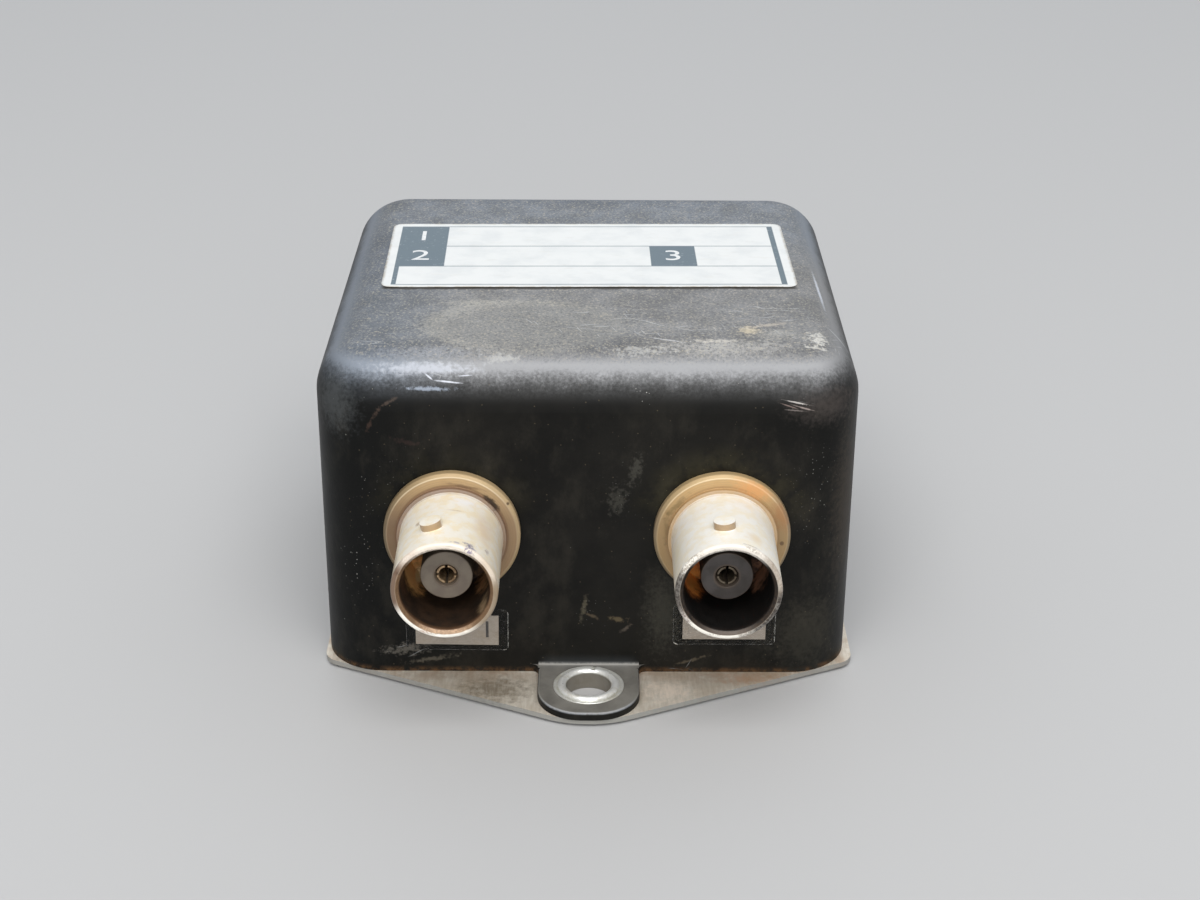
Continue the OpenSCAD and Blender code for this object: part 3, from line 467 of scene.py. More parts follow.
def moulding_dust_and_highlight(paint, point, up, sideways):
    """Dust and a painted highlight on the rounded edge: grainy at the foot of the rounded edge, cloudy on the
    top and the tab.
    """
    x = paint.parts(point)[0]
    fine = paint.calc("SUBTRACT", paint.cloud(point, 3.2, 3.0, 0.7), 0.5)
    wide = paint.calc("SUBTRACT", paint.cloud(point, 0.45, 3.0, 0.6), 0.5)
    ragged = paint.times(
        paint.calc("MULTIPLY_ADD", wide, 0.7, fine),
        paint.fade(up, 0.84, 0.62, 0.0, 0.34),
        paint.fade(up, 0.20, 0.36))
    cloudy = paint.fade(paint.cloud(point, 0.22, 5.0, 0.65), 0.32, 0.68, 0.74, 1.22)
    uneven = paint.blend(paint.fade(up, 0.86, 0.97), 1.0, cloudy)
    # Painted shade: less of it toward the left and on faces that turn to the sides
    across = paint.times(
        paint.fade(x, -25.0, -11.0, 0.78, 1.0),
        paint.fade(sideways, -0.2, -0.72, 1.0, 0.74),
        paint.fade(sideways, 0.2, 0.72, 1.0, 0.60))
    return paint.times(paint.curve(paint.calc("ADD", up, ragged), DUST_AND_HIGHLIGHT), uneven, across)


def add_dust_grain(paint, point, colour, lying):
    """Fine tan and dark grain in the dust that lies on the top."""
    grains = paint.cloud(point, 4.2, 3.0, 0.75)
    tan = paint.times(paint.fade(grains, 0.54, 0.64), lying)
    dark = paint.times(paint.fade(grains, 0.46, 0.36), lying)
    colour = paint.wash(colour, tint(184, 176, 158), tan, 0.58)
    return paint.wash(colour, tint(66, 69, 74), dark, 0.55)


def add_specks(paint, point, colour, sparse):
    """Specks and lint, thin everywhere and thick in places."""
    faint = specks(paint, paint.vector("ADD", point, (7, 3, 5)), 0.6, 0.07, 0.34)
    thick = paint.times(specks(paint, point, 0.30, 0.055, 0.50), close_together(paint, point, SPECKLED))
    colour = paint.wash(colour, tint(122, 110, 88), faint, 0.30)
    colour = paint.wash(colour, tint(176, 176, 168), sparse, 0.34)
    return paint.wash(colour, tint(206, 206, 200), thick, 0.9)


def add_scratches(paint, point, colour):
    """Short thin scratches, many where something has rubbed and hardly any elsewhere."""
    cut = paint.highest(
        paint.use(SCRATCHES, {"Point": point, "Turn": turn, "Length": length, "Width": width, "Share": share})
        for turn, length, width, share in SCRATCH_RUNS)
    cut = paint.times(cut, close_together(paint, point, SCRATCHED))
    return paint.wash(colour, tint(208, 210, 212), cut, 0.75)


def add_dust_round_jacks(paint, point, colour, pollen):
    """Yellowish dust caught over the right jack's flange, and a little over the left one's."""
    y = paint.parts(point)[1]
    for side, share in (("right", 0.85), ("left", 0.40)):
        axis = middle(f"{side}_jack_shell")
        aside, _, above = paint.parts(paint.vector("SUBTRACT", point, (axis.x, 0, axis.z)))
        ring = paint.times(
            paint.fade(paint.from_axis(aside, above), 9.8, 6.9),
            paint.fade(above, 0.0, 5.0),
            paint.fade(paint.cloud(point, 0.5, 3.0, 0.6), 0.36, 0.62),
            paint.fade(y, -24.6, -25.2))
        colour = paint.wash(colour, tint(120, 112, 78), ring, 0.10 * share)
        colour = paint.wash(colour, tint(148, 136, 92), paint.times(ring, pollen), share * 0.8)
    return colour


def add_dust_and_shadow_by_nameplate(paint, point, colour, pollen, lying):
    """Yellow dust against the nameplate's front edge, and a dark line under the edge itself: painted shadow
    of the lifted foil, with grime.
    """
    from_left, from_front, _ = paint.parts(nameplate_place(paint, point))
    beside = paint.times(paint.fade(from_left, 3.0, 9.0), paint.fade(from_left, 36.0, 30.0))
    strip = paint.times(paint.fade(from_front, -1.6, -0.2), beside, paint.times(pollen, lying))
    colour = paint.wash(colour, tint(206, 192, 146), strip, 0.75)
    # Painted shadow of the lifted foil's front edge, with grime, as a dark line
    wander = paint.fade(paint.cloud(point, 0.8, 3.0, 0.6), 0.3, 0.7, -0.12, 0.12)
    from_edge = paint.calc("ADD", from_front, wander)
    under = paint.times(
        paint.fade(from_edge, -0.60, -0.42),
        paint.fade(from_edge, 0.5, 0.2),
        paint.times(paint.fade(from_left, -0.1, 0.4), lying),
        paint.fade(from_left, PLATE_W + 0.1, PLATE_W - 0.5))
    return paint.wash(colour, tint(38, 31, 22), under, 0.92)


def add_foot_dust_and_tab_highlight(paint, point, colour, up):
    """Rusty dust along the block's foot, a painted highlight on the tab's rounded edge and a faint painted
    glow in its root.
    """
    x, y, z = paint.parts(point)
    foot = paint.times(
        paint.fade(z, 1.5, 0.86),
        paint.fade(paint.cloud(point, 1.1, 4.0, 0.7), 0.36, 0.66),
        paint.fade(y, -27.0, -26.2))
    colour = paint.wash(colour, tint(128, 94, 62), foot, 0.46)
    # Painted highlight on the tab's rounded edge, strongest toward its front and broken up unevenly
    tab_edge_highlight = paint.times(paint.fade(up, 0.25, 0.60), paint.fade(up, 0.99, 0.85), paint.fade(z, 3.2, 2.2))
    highlight_strength = paint.times(
        paint.fade(y, -31.0, -33.0, 0.05, 0.34),
        paint.fade(paint.cloud(point, 1.6, 4.0, 0.7), 0.30, 0.60, 0.35, 1.0))
    colour = paint.wash(colour, tint(160, 168, 182), tab_edge_highlight, highlight_strength)
    # Painted highlight: a faint pale glow in the tab's root
    root = paint.times(
        paint.fade(z, 2.9, 1.8),
        paint.fade(paint.calc("ABSOLUTE", x), 5.2, 3.6),
        paint.fade(y, -26.8, -25.6))
    return paint.wash(colour, tint(150, 158, 164), root, 0.07)


def moulding_nodes(paint):
    """Black satin moulding: dusty above, with a painted highlight and some rubbing along its rounded edge,
    specked and smeared below, painted darker toward the left.
    """
    point = paint.millimetres()
    x, y, z = paint.parts(point)
    sideways, _, up = paint.facing()
    patch = paint.cloud(point, 0.12, 4.0, 0.6)
    colour = paint.mix(paint.fade(patch, 0.35, 0.65), tint(11, 11, 9), tint(22, 21, 18))
    # Painted shade: the black darkens toward the left
    colour = paint.mix(paint.fade(x, -10.0, -21.0), colour, tint(6, 7, 6))
    smear = paint.cloud(paint.vector("MULTIPLY", point, (0.34, 0.34, 0.20)), 1.0, 5.0, 0.7)
    smear = paint.times(paint.fade(smear, 0.46, 0.72), paint.fade(z, 31.0, 26.0))
    colour = paint.wash(colour, tint(66, 62, 54), smear, 0.20)
    # Dust, and a painted highlight along the rounded front edge
    dust_and_highlight = moulding_dust_and_highlight(paint, point, up, sideways)
    cool = paint.calc("MAXIMUM", paint.fade(y, -4.0, 14.0), paint.fade(x, -10.0, -21.0))
    pale = paint.mix(cool, tint(175, 176, 179), tint(162, 171, 184))
    colour = paint.mix(dust_and_highlight, colour, paint.mix(paint.fade(z, 20.0, 5.0), pale, tint(166, 163, 156)))
    colour, top_cover = add_marks(paint, point, colour, TOP_MARKS_AND_SHADE, "Z")
    colour, front_cover = add_marks(paint, point, colour, FRONT_MARKS, "Y")
    lying = paint.times(paint.fade(up, 0.72, 0.97), paint.fade(z, 20.0, 30.0))
    sparse = specks(paint, point, 0.95, 0.062, 0.34)
    pollen = specks(paint, point, 0.34, 0.06, 0.6)
    colour = add_dust_grain(paint, point, colour, lying)
    colour = add_specks(paint, point, colour, sparse)
    colour = add_scratches(paint, point, colour)
    colour = add_dust_round_jacks(paint, point, colour, pollen)
    colour = add_dust_and_shadow_by_nameplate(paint, point, colour, pollen, lying)
    colour = add_foot_dust_and_tab_highlight(paint, point, colour, up)
    grain = paint.use(GRAIN, {"Point": point, "Fine": 5.0, "Broad": 0.35, "Waviness": 3.0})
    rough = paint.blend(dust_and_highlight, 0.46, 0.50)
    rough = paint.calc("ADD", rough, paint.times(paint.calc("SUBTRACT", patch, 0.5), 0.2))
    rough = paint.calc("ADD", rough, paint.times(paint.calc("MAXIMUM", top_cover, front_cover), 0.15))
    relief = paint.relief(paint.calc("ADD", grain, sparse), 0.010)
    return {"Base Color": colour, "Roughness": rough, "Normal": relief}


# Brown and pale places on the base plate: centre, reach, colour, strength
PLATE_STAINS = [
    ((-9.2, -28.8, 0.8), (4.8, 3.4, 2.0), tint(128, 114, 94), 0.85),
    ((7.6, -28.8, 0.8), (3.2, 3.0, 2.0), tint(252, 238, 222), 0.90),
    ((15.5, -26.6, 0.8), (5.0, 1.8, 2.0), tint(198, 148, 106), 0.60),
]


def plate_nodes(paint):
    """Dull tinned sheet, streaked along Y, paler along its rim, brown where it meets the block."""
    point = paint.millimetres()
    x, y, _ = paint.parts(point)
    brushed = paint.cloud(paint.vector("MULTIPLY", point, (4.0, 0.5, 4.0)), 1.0, 4.0, 0.65)
    bloom = paint.cloud(point, 0.30, 4.0, 0.6)
    colour = paint.mix(paint.fade(brushed, 0.3, 0.7), tint(212, 203, 188), tint(230, 223, 211))
    colour = paint.wash(colour, tint(190, 172, 148), paint.fade(bloom, 0.44, 0.68), 0.40)
    for centre, reach, mark_tone, strength in PLATE_STAINS:
        mask = patch_of(paint, point, centre, reach, 0.95, 1.8)
        mask = paint.times(mask, paint.fade(brushed, 0.3, 0.6, 0.55, 1.0))
        colour = paint.wash(colour, mark_tone, mask, strength)
    by_block = paint.times(
        paint.fade(paint.calc("ABSOLUTE", y), 28.6, 25.6),
        paint.fade(paint.cloud(point, 0.5, 4.0, 0.65), 0.34, 0.62))
    colour = paint.wash(colour, tint(170, 134, 98), by_block, 0.45)
    outward = paint.calc("MULTIPLY_ADD", paint.calc("ABSOLUTE", x), NOSE_SLOPE, paint.calc("ABSOLUTE", y))
    rim = paint.fade(paint.calc("SUBTRACT", outward, NOSE_REACH), -0.9, -0.4)
    colour = paint.wash(colour, tint(238, 232, 220), rim, 0.55)
    cut_edge = paint.fade(paint.upward(), 0.7, 0.3)
    colour = paint.wash(colour, tint(134, 136, 134), cut_edge, 0.80)
    colour = paint.wash(colour, tint(120, 102, 78), specks(paint, point, 1.3, 0.09, 0.25), 0.50)
    rough = paint.fade(brushed, 0.2, 0.8, 0.44, 0.54)
    metal = paint.blend(paint.fade(paint.upward(), 0.5, 0.9), 0.15, 0.40)
    relief = paint.relief(brushed, 0.004)
    return {"Base Color": colour, "Roughness": rough, "Metallic": metal, "Normal": relief}


def eyelet_nodes(paint):
    """Bright tin with small dark pits on its curl, a dull greenish film in its low places and painted shade
    down its bore.
    """
    point = paint.millimetres()
    x, y, z = paint.parts(point)
    pits = specks(paint, point, 0.5, 0.055, 0.35)
    film = paint.cloud(point, 0.9, 4.0, 0.6)
    colour = paint.mix(paint.fade(film, 0.50, 0.68), tint(240, 241, 239), tint(214, 212, 204))
    colour = paint.wash(colour, tint(88, 80, 68), pits, 0.65)
    low_down = paint.fade(z, TAB_TOP + 0.26, TAB_TOP + 0.02)
    colour = paint.wash(colour, tint(166, 164, 148), low_down, 0.50)
    # Painted shade down the bore
    from_hole = paint.calc("SUBTRACT", paint.calc("ABSOLUTE", y), middle("rear_eyelet").y)
    bore_shade = paint.times(
        paint.fade(paint.length(paint.join(x, from_hole, 0.0)), EYELET_BORE_R + 0.11, EYELET_BORE_R + 0.03),
        paint.fade(z, TAB_TOP + 0.15, TAB_TOP - 0.05))
    colour = paint.wash(colour, tint(120, 112, 100), bore_shade, 0.80)
    height = paint.calc("SUBTRACT", paint.cloud(point, 2.5, 3.0, 0.6), paint.times(pits, 0.6))
    rough = paint.fade(film, 0.35, 0.7, 0.28, 0.42)
    relief = paint.relief(height, 0.014)
    return {"Base Color": colour, "Roughness": rough, "Metallic": 0.5, "Normal": relief}


# Tarnish, painted shadow and a painted highlight on the jacks' flanges and barrels, counted from the axis and
# the flange's back, forward being -Y: centre, reach, turn about Y in degrees, softness, raggedness, colour,
# strength
JACK_STAINS_AND_LIGHT = {
    "left": [
        # Painted shadow: a dark line along the top of the collar, heavier to the right
        ((3.85, -1.0, 3.50), (1.35, 0.6, 0.42), 47, 0.6, 1.4, tint(52, 40, 32), 0.90),
        ((1.4, -1.0, 5.20), (2.6, 0.5, 0.22), 12, 0.8, 1.0, tint(104, 78, 56), 0.60),
        ((5.33, -1.0, 3.41), (0.22, 0.4, 0.16), 40, 0.5, 0.6, tint(70, 50, 36), 0.80),
        ((2.4, -10.9, 4.30), (0.9, 0.50, 0.6), 26, 0.8, 3.2, tint(104, 98, 136), 0.85),
        ((1.1, -11.1, 4.75), (0.8, 0.22, 0.4), 8, 0.8, 3.0, tint(142, 134, 160), 0.55),
        ((4.1, -9.6, 3.1), (0.5, 0.7, 0.5), 0, 0.9, 3.6, tint(126, 98, 106), 0.50),
        ((-2.6, -6.4, 4.0), (0.34, 0.5, 0.5), 0, 0.8, 1.2, tint(150, 118, 82), 0.55),
        ((0.6, -5.0, 4.8), (1.3, 0.16, 0.5), 0, 0.8, 1.6, tint(190, 162, 126), 0.45),
        ((3.4, -6.5, 3.4), (1.5, 3.6, 1.8), 0, 0.95, 1.8, tint(232, 204, 172), 0.55),
        # Painted highlight: a white spot on the barrel's top
        ((1.5, -2.9, 4.6), (2.0, 1.1, 1.0), 10, 0.9, 1.4, tint(253, 252, 252), 0.80),
        ((-4.4, -5.5, -1.5), (1.4, 4.5, 2.4), 0, 0.9, 1.6, tint(214, 194, 152), 0.40),
        ((4.4, -6.5, -1.5), (1.4, 4.5, 2.5), 0, 0.9, 1.6, tint(216, 190, 150), 0.40),
        ((-4.7, -10.2, 0.9), (0.9, 4.2, 2.6), 0, 0.9, 1.0, tint(138, 120, 96), 0.80),
    ],
    "right": [
        ((2.8, -1.0, 5.1), (2.8, 0.6, 1.3), 22, 0.9, 1.2, tint(232, 164, 100), 0.62),
        ((5.4, -1.0, 2.4), (1.3, 0.6, 2.6), -20, 0.9, 1.6, tint(160, 108, 66), 0.55),
        ((5.62, -1.0, -0.61), (0.26, 0.4, 0.30), 0, 0.5, 1.0, tint(84, 62, 44), 0.75),
        ((-4.4, -1.0, 3.3), (1.8, 0.6, 0.35), -48, 0.8, 2.4, tint(110, 94, 56), 0.50),
        ((-5.3, -1.0, 0.8), (0.35, 0.6, 2.4), 0, 0.8, 2.4, tint(110, 92, 60), 0.45),
        ((-4.5, -8.0, 1.6), (1.0, 3.4, 2.0), 0, 0.9, 1.6, tint(236, 224, 188), 0.40),
        ((2.4, -9.2, 4.2), (1.2, 1.4, 0.8), 20, 0.9, 1.6, tint(236, 212, 174), 0.45),
        ((4.4, -6.0, -1.0), (1.2, 4.6, 2.6), 0, 0.9, 1.6, tint(206, 180, 140), 0.40),
        ((1.8, -11.1, 4.4), (1.6, 0.14, 0.6), 0, 0.8, 3.0, tint(130, 114, 98), 0.50),
    ],
}

# The rims are bright above and below, the white below partly a painted reflection, and tarnished at the
# sides:
# direction in degrees, counted from the right over the top, spread in degrees, colour, strength, and how much
# of it is fine pitting
RIM_SIDES = {
    "left": [
        (80, 50, tint(240, 226, 208), 0.80, 0.0), (142, 22, tint(206, 178, 156), 0.60, 0.3),
        (16, 30, tint(206, 182, 152), 0.60, 0.0), (300, 14, tint(206, 190, 170), 0.40, 0.0),
        (174, 32, tint(112, 86, 66), 0.96, 0.0), (340, 36, tint(138, 118, 92), 0.90, 0.0),
    ],
    "right": [
        (84, 46, tint(240, 232, 220), 0.80, 0.0), (146, 24, tint(156, 142, 126), 0.70, 1.0),
        (206, 18, tint(124, 102, 96), 0.80, 0.5), (20, 30, tint(152, 134, 116), 0.85, 0.2),
        (294, 12, tint(120, 108, 98), 0.70, 0.6), (180, 28, tint(60, 52, 46), 0.97, 0.12),
        (330, 34, tint(46, 35, 28), 0.97, 0.15),
    ],
}

# Stains on the rims, given as the jacks' tarnish is
RIM_STAINS = {
    "left": [
        ((2.3, -11.6, 4.05), (0.75, 0.8, 0.42), 30, 0.8, 0.8, tint(112, 104, 140), 0.85),
        ((-1.4, -11.6, -4.15), (1.6, 0.8, 0.3), 8, 0.8, 0.8, tint(176, 128, 96), 0.60),
    ],
    "right": [
        ((2.0, -11.6, 4.25), (2.2, 0.8, 0.30), 26, 0.9, 0.8, tint(96, 82, 68), 0.50),
        ((-0.8, -11.6, -4.3), (1.7, 0.8, 0.22), 0, 0.9, 0.8, tint(104, 86, 76), 0.40),
    ],
}

# The lip inside each rim: its tone above, which is a painted highlight, at the sides and below
LIP_TONE_AND_HIGHLIGHT = {
    "left": (tint(252, 240, 224), tint(124, 96, 68), tint(190, 156, 124)),
    "right": (tint(252, 246, 236), tint(34, 27, 21), tint(86, 76, 68)),
}

# Bare amber metal, painted bright to stand in for its reflection, and darker patches inside the sockets,
# given as the jacks' tarnish is
SOCKET_STAINS_AND_REFLECTION = {
    "left": [
        # Bare amber metal, painted bright to stand in for its reflection
        ((-3.4, -4.8, -1.8), (2.0, 3.4, 2.9), 0, 0.7, 1.1, tint(254, 190, 118), 1.00),
        ((-2.9, -3.6, -2.7), (0.6, 2.2, 0.8), 0, 0.7, 1.6, tint(255, 226, 176), 0.95),
        ((3.2, -4.8, -1.8), (1.4, 3.2, 2.6), 0, 0.9, 1.6, tint(214, 160, 110), 0.85),
        ((3.4, -9.9, -2.2), (0.9, 2.2, 1.9), 0, 0.9, 1.8, tint(178, 150, 116), 0.85),
        ((-4.0, -8.4, -0.6), (0.9, 2.6, 2.4), 0, 0.9, 1.2, tint(98, 70, 52), 0.60),
        ((4.0, -8.6, -0.4), (0.9, 2.6, 2.2), 0, 0.9, 1.2, tint(92, 66, 48), 0.50),
    ],
    "right": [
        # Bare amber metal, painted bright to stand in for its reflection
        ((-3.2, -4.6, -2.0), (2.0, 3.6, 2.7), 0, 0.6, 0.9, tint(255, 150, 72), 1.00),
        ((-3.0, -4.2, -2.7), (1.3, 2.8, 1.3), 0, 0.6, 1.0, tint(255, 172, 84), 1.00),
        ((3.4, -4.4, -2.0), (1.3, 2.8, 2.4), 0, 0.9, 1.6, tint(206, 150, 118), 0.90),
        ((-4.0, -9.2, -0.4), (0.9, 1.8, 1.6), 0, 0.9, 1.2, tint(74, 58, 44), 0.60),
    ],
}

# Tones of each flange, paler high up as painted light: its face low down and high up, its bevel low down and
# high up, and its collar
FLANGE_LIGHT_AND_TONE = {
    "left": (
        tint(120, 96, 62), tint(224, 190, 134),
        tint(132, 114, 88), tint(170, 146, 110), tint(120, 92, 74)),
    "right": (
        tint(132, 112, 78), tint(220, 184, 128),
        tint(146, 128, 102), tint(186, 160, 118), tint(176, 142, 96)),
}

# Painted light and shade on the left flange, darker to one side and paler to the other: where along X it
# begins and is full, then the share and colour on the face, and the same on the bevel
FLANGE_SIDE_LIGHT = {
    "left": [
        (-1.0, -6.0, 0.30, tint(88, 72, 48), 0.45, tint(80, 68, 46)),
        (0.0, 6.0, 0.30, tint(222, 190, 142), 0.50, tint(228, 200, 156)),
    ],
    "right": [],
}

# How dark the painted shade in the corner between each flange and its collar is
FLANGE_CORNER_SHADE = {"left": 0.60, "right": 0.30}

# The barrel's bright and dull tones, and the socket's film where it is thin, thick and at the mouth
BARREL_TONE = {
    "left": (tint(252, 246, 234), tint(248, 235, 208)),
    "right": (tint(254, 251, 244), tint(251, 243, 225)),
}
SOCKET_TONE = {
    "left": (tint(60, 43, 30), tint(40, 30, 22), tint(118, 86, 60)),
    "right": (tint(18, 15, 13), tint(11, 10, 9), tint(36, 28, 23)),
}

# How fine the ragged edges of the stains are, outside and inside
JACK_GRAIN, SOCKET_GRAIN = 1.8, 1.2

# A place on a jack, counted from its axis and its flange's back
JackPlace = namedtuple("JackPlace", "point x y z radius")


def barrel_colour(paint, side, at, wear):
    """Cream silver, pearly in patches and yellower below."""
    colour = paint.mix(paint.fade(wear, 0.40, 0.62), *BARREL_TONE[side])
    aside = paint.vector("ADD", at.point, (4, 9, 2))
    pearly = paint.fade(paint.cloud(aside, 0.45, 5.0, 0.7), 0.46, 0.68)
    colour = paint.wash(colour, tint(236, 220, 190), pearly, 0.24)
    return paint.wash(colour, tint(214, 186, 144), paint.fade(at.z, 3.6, -3.0), 0.55)


def add_flange_film_and_light(paint, side, at, colour, on_flange):
    """A tan film, with painted light: paler toward the top of the face and the bevel, a painted highlight
    line inside the bevel and painted shade in the corner by the collar.
    """
    low_face, high_face, low_bevel, high_bevel, collar_tone = FLANGE_LIGHT_AND_TONE[side]
    radius = at.radius
    # Painted light: face and bevel paler toward the top
    aloft = paint.fade(paint.calc("DIVIDE", at.z, radius), 0.15, 0.98)
    face_tone = paint.mix(aloft, low_face, high_face)
    bevel_tone = paint.mix(aloft, low_bevel, high_bevel)
    # Painted light and shade from side to side
    for start, full, face_share, face_side, bevel_share, bevel_side in FLANGE_SIDE_LIGHT[side]:
        face_tone = paint.mix(paint.fade(at.x, start, full, 0.0, face_share), face_tone, face_side)
        bevel_tone = paint.mix(paint.fade(at.x, start, full, 0.0, bevel_share), bevel_tone, bevel_side)
    turned = paint.fade(paint.cloud(paint.join(radius, 0.0, 0.0), 5.0, 2.0, 0.7), 0.3, 0.7, 0.0, 0.22)
    face_tone = paint.mix(turned, face_tone, tint(112, 90, 62))
    colour = paint.wash(colour, face_tone, on_flange, 0.94)
    bevel = paint.times(paint.fade(radius, BEVEL_R - 0.03, BEVEL_R + 0.05), on_flange)
    colour = paint.wash(colour, bevel_tone, bevel, 0.85)
    # Painted highlight: a bright line inside the bevel, strongest at the top
    line = paint.times(
        paint.fade(radius, BEVEL_R - 0.12, BEVEL_R - 0.05),
        paint.fade(radius, BEVEL_R + 0.07, BEVEL_R),
        paint.times(on_flange, paint.fade(aloft, 0.0, 1.0, 0.15, 0.75)))
    colour = paint.mix(line, colour, tint(246, 228, 192))
    # Painted shade in the corner by the collar
    corner = paint.times(paint.fade(radius, COLLAR_R + 0.35, COLLAR_R + 0.07), on_flange)
    colour = paint.wash(colour, tint(112, 78, 50), corner, FLANGE_CORNER_SHADE[side])
    collar = paint.times(
        paint.fade(at.y, -1.95, -1.75),
        paint.fade(radius, BARREL_R - 0.03, BARREL_R + 0.05),
        paint.fade(at.y, -0.9, -1.1))
    return paint.wash(colour, collar_tone, collar, 0.85)


def add_lug_side_shade(paint, at, colour):
    """Painted shade: tan on the front of the lugs' round sides."""
    front = paint.facing()[1]
    lug_side_shade = paint.times(
        paint.fade(at.radius, BARREL_R + 0.03, BARREL_R + 0.09),
        paint.fade(front, 0.0, -0.5),
        paint.fade(at.y, -2.5, -3.5))
    return paint.wash(colour, tint(160, 126, 80), lug_side_shade, 0.85)


def add_rim(paint, side, at, colour, on_rim, fine):
    """The rim, tarnished and pitted in places, and the lip inside it."""
    # Near white all round, which below stands in partly for a painted reflection
    rim_colour = tint(254, 250, 240)
    for direction, spread, tarnish, strength, pitted in RIM_SIDES[side]:
        east, north = math.cos(math.radians(direction)), math.sin(math.radians(direction))
        along = paint.calc("MULTIPLY_ADD", at.x, east, paint.times(at.z, north))
        edge = [math.cos(math.radians(spread * share)) for share in (1.2, 0.55)]
        mask = paint.times(
            paint.fade(paint.calc("DIVIDE", along, at.radius), *edge),
            paint.blend(pitted, 1.0, fine))
        rim_colour = paint.wash(rim_colour, tarnish, mask, strength)
    for mask, mark_tone, strength in marks_of(paint, at.point, RIM_STAINS[side], "Y", JACK_GRAIN):
        rim_colour = paint.wash(rim_colour, mark_tone, paint.times(mask, fine), strength)
    colour = paint.mix(on_rim, colour, rim_colour)
    # The pale tone above is a painted highlight on the lip's rounding
    above, beside, below = LIP_TONE_AND_HIGHLIGHT[side]
    aloft = paint.calc("DIVIDE", at.z, at.radius)
    lip_colour = paint.mix(paint.fade(aloft, 0.55, 0.97), beside, above)
    lip_colour = paint.mix(paint.fade(aloft, -0.72, -0.99), lip_colour, below)
    lip_colour = paint.wash(lip_colour, tint(84, 66, 50), fine, 0.35)
    on_lip = paint.times(
        paint.fade(at.y, 0.42 - MOUTH, 0.34 - MOUTH), paint.fade(at.radius, LIP_R + 0.08, LIP_R))
    return paint.mix(on_lip, colour, lip_colour)


def socket_film(paint, side, at):
    """The brown to black film of the socket's wall, and where bare amber metal shows through it, painted
    bright to stand in for its reflection.
    """
    thin, thick, at_mouth = SOCKET_TONE[side]
    film = paint.mix(paint.fade(paint.cloud(at.point, 0.8, 4.0, 0.6), 0.3, 0.7), thin, thick)
    film = paint.wash(film, at_mouth, paint.fade(at.y, 0.9 - MOUTH, 0.3 - MOUTH), 0.6)
    masks = []
    for mask, mark_tone, strength in marks_of(paint, at.point, SOCKET_STAINS_AND_REFLECTION[side], "Y", SOCKET_GRAIN):
        film = paint.wash(film, mark_tone, mask, strength)
        masks.append(mask)
    return film, paint.highest(masks)


def jack_nodes(side):
    """Aged silver plate on turned brass: cream on the barrel, tan on the flange, brown in the socket."""
    x0, front_y, z0 = jack_frame(side)

    def build(paint):
        point = paint.vector("SUBTRACT", paint.millimetres(), (x0, front_y, z0))
        x, y, z = paint.parts(point)
        at = JackPlace(point, x, y, z, paint.from_axis(x, z))
        rings = paint.use(TURNING, {"Point": point, "Rings": 7.0}, "Height")
        wear = paint.use(TURNING, {"Point": point, "Rings": 7.0}, "Wear")
        on_flange = paint.fade(y, -1.5, -1.15)
        on_rim = paint.times(
            paint.fade(y, 0.38 - MOUTH, 0.20 - MOUTH), paint.fade(at.radius, LIP_R, LIP_R + 0.08))
        inside = paint.times(
            paint.fade(at.radius, SOCKET_R + 0.12, SOCKET_R + 0.04),
            paint.fade(y, 0.20 - MOUTH, 0.30 - MOUTH))
        fine = paint.fade(paint.cloud(point, 3.4, 3.0, 0.75), 0.44, 0.56)
        pits = specks(paint, point, 0.55, 0.05, 0.30)
        colour = barrel_colour(paint, side, at, wear)
        colour = add_flange_film_and_light(paint, side, at, colour, on_flange)
        colour = add_lug_side_shade(paint, at, colour)
        # Tarnish, with painted shadow and a painted highlight on the left jack
        for mask, mark_tone, strength in marks_of(paint, point, JACK_STAINS_AND_LIGHT[side], "Y", JACK_GRAIN):
            colour = paint.wash(colour, mark_tone, mask, strength)
        colour = paint.wash(colour, tint(150, 124, 94), pits, 0.30)
        colour = add_rim(paint, side, at, colour, on_rim, fine)
        film, amber = socket_film(paint, side, at)
        colour = paint.mix(inside, colour, film)
        bare = paint.times(inside, amber)
        metal = paint.blend(inside, paint.blend(on_flange, 0.10, 0.22), 0.20)
        metal = paint.blend(bare, metal, 0.12)
        rough = paint.calc("ADD", paint.fade(wear, 0.3, 0.7, 0.40, 0.50), paint.times(inside, 0.10))
        rough = paint.blend(paint.calc("MAXIMUM", paint.times(on_rim, 0.8), bare), rough, 0.34)
        relief = paint.relief(paint.calc("SUBTRACT", rings, paint.times(pits, 0.6)), 0.009)
        return {"Base Color": colour, "Roughness": rough, "Metallic": metal, "Normal": relief}

    return build


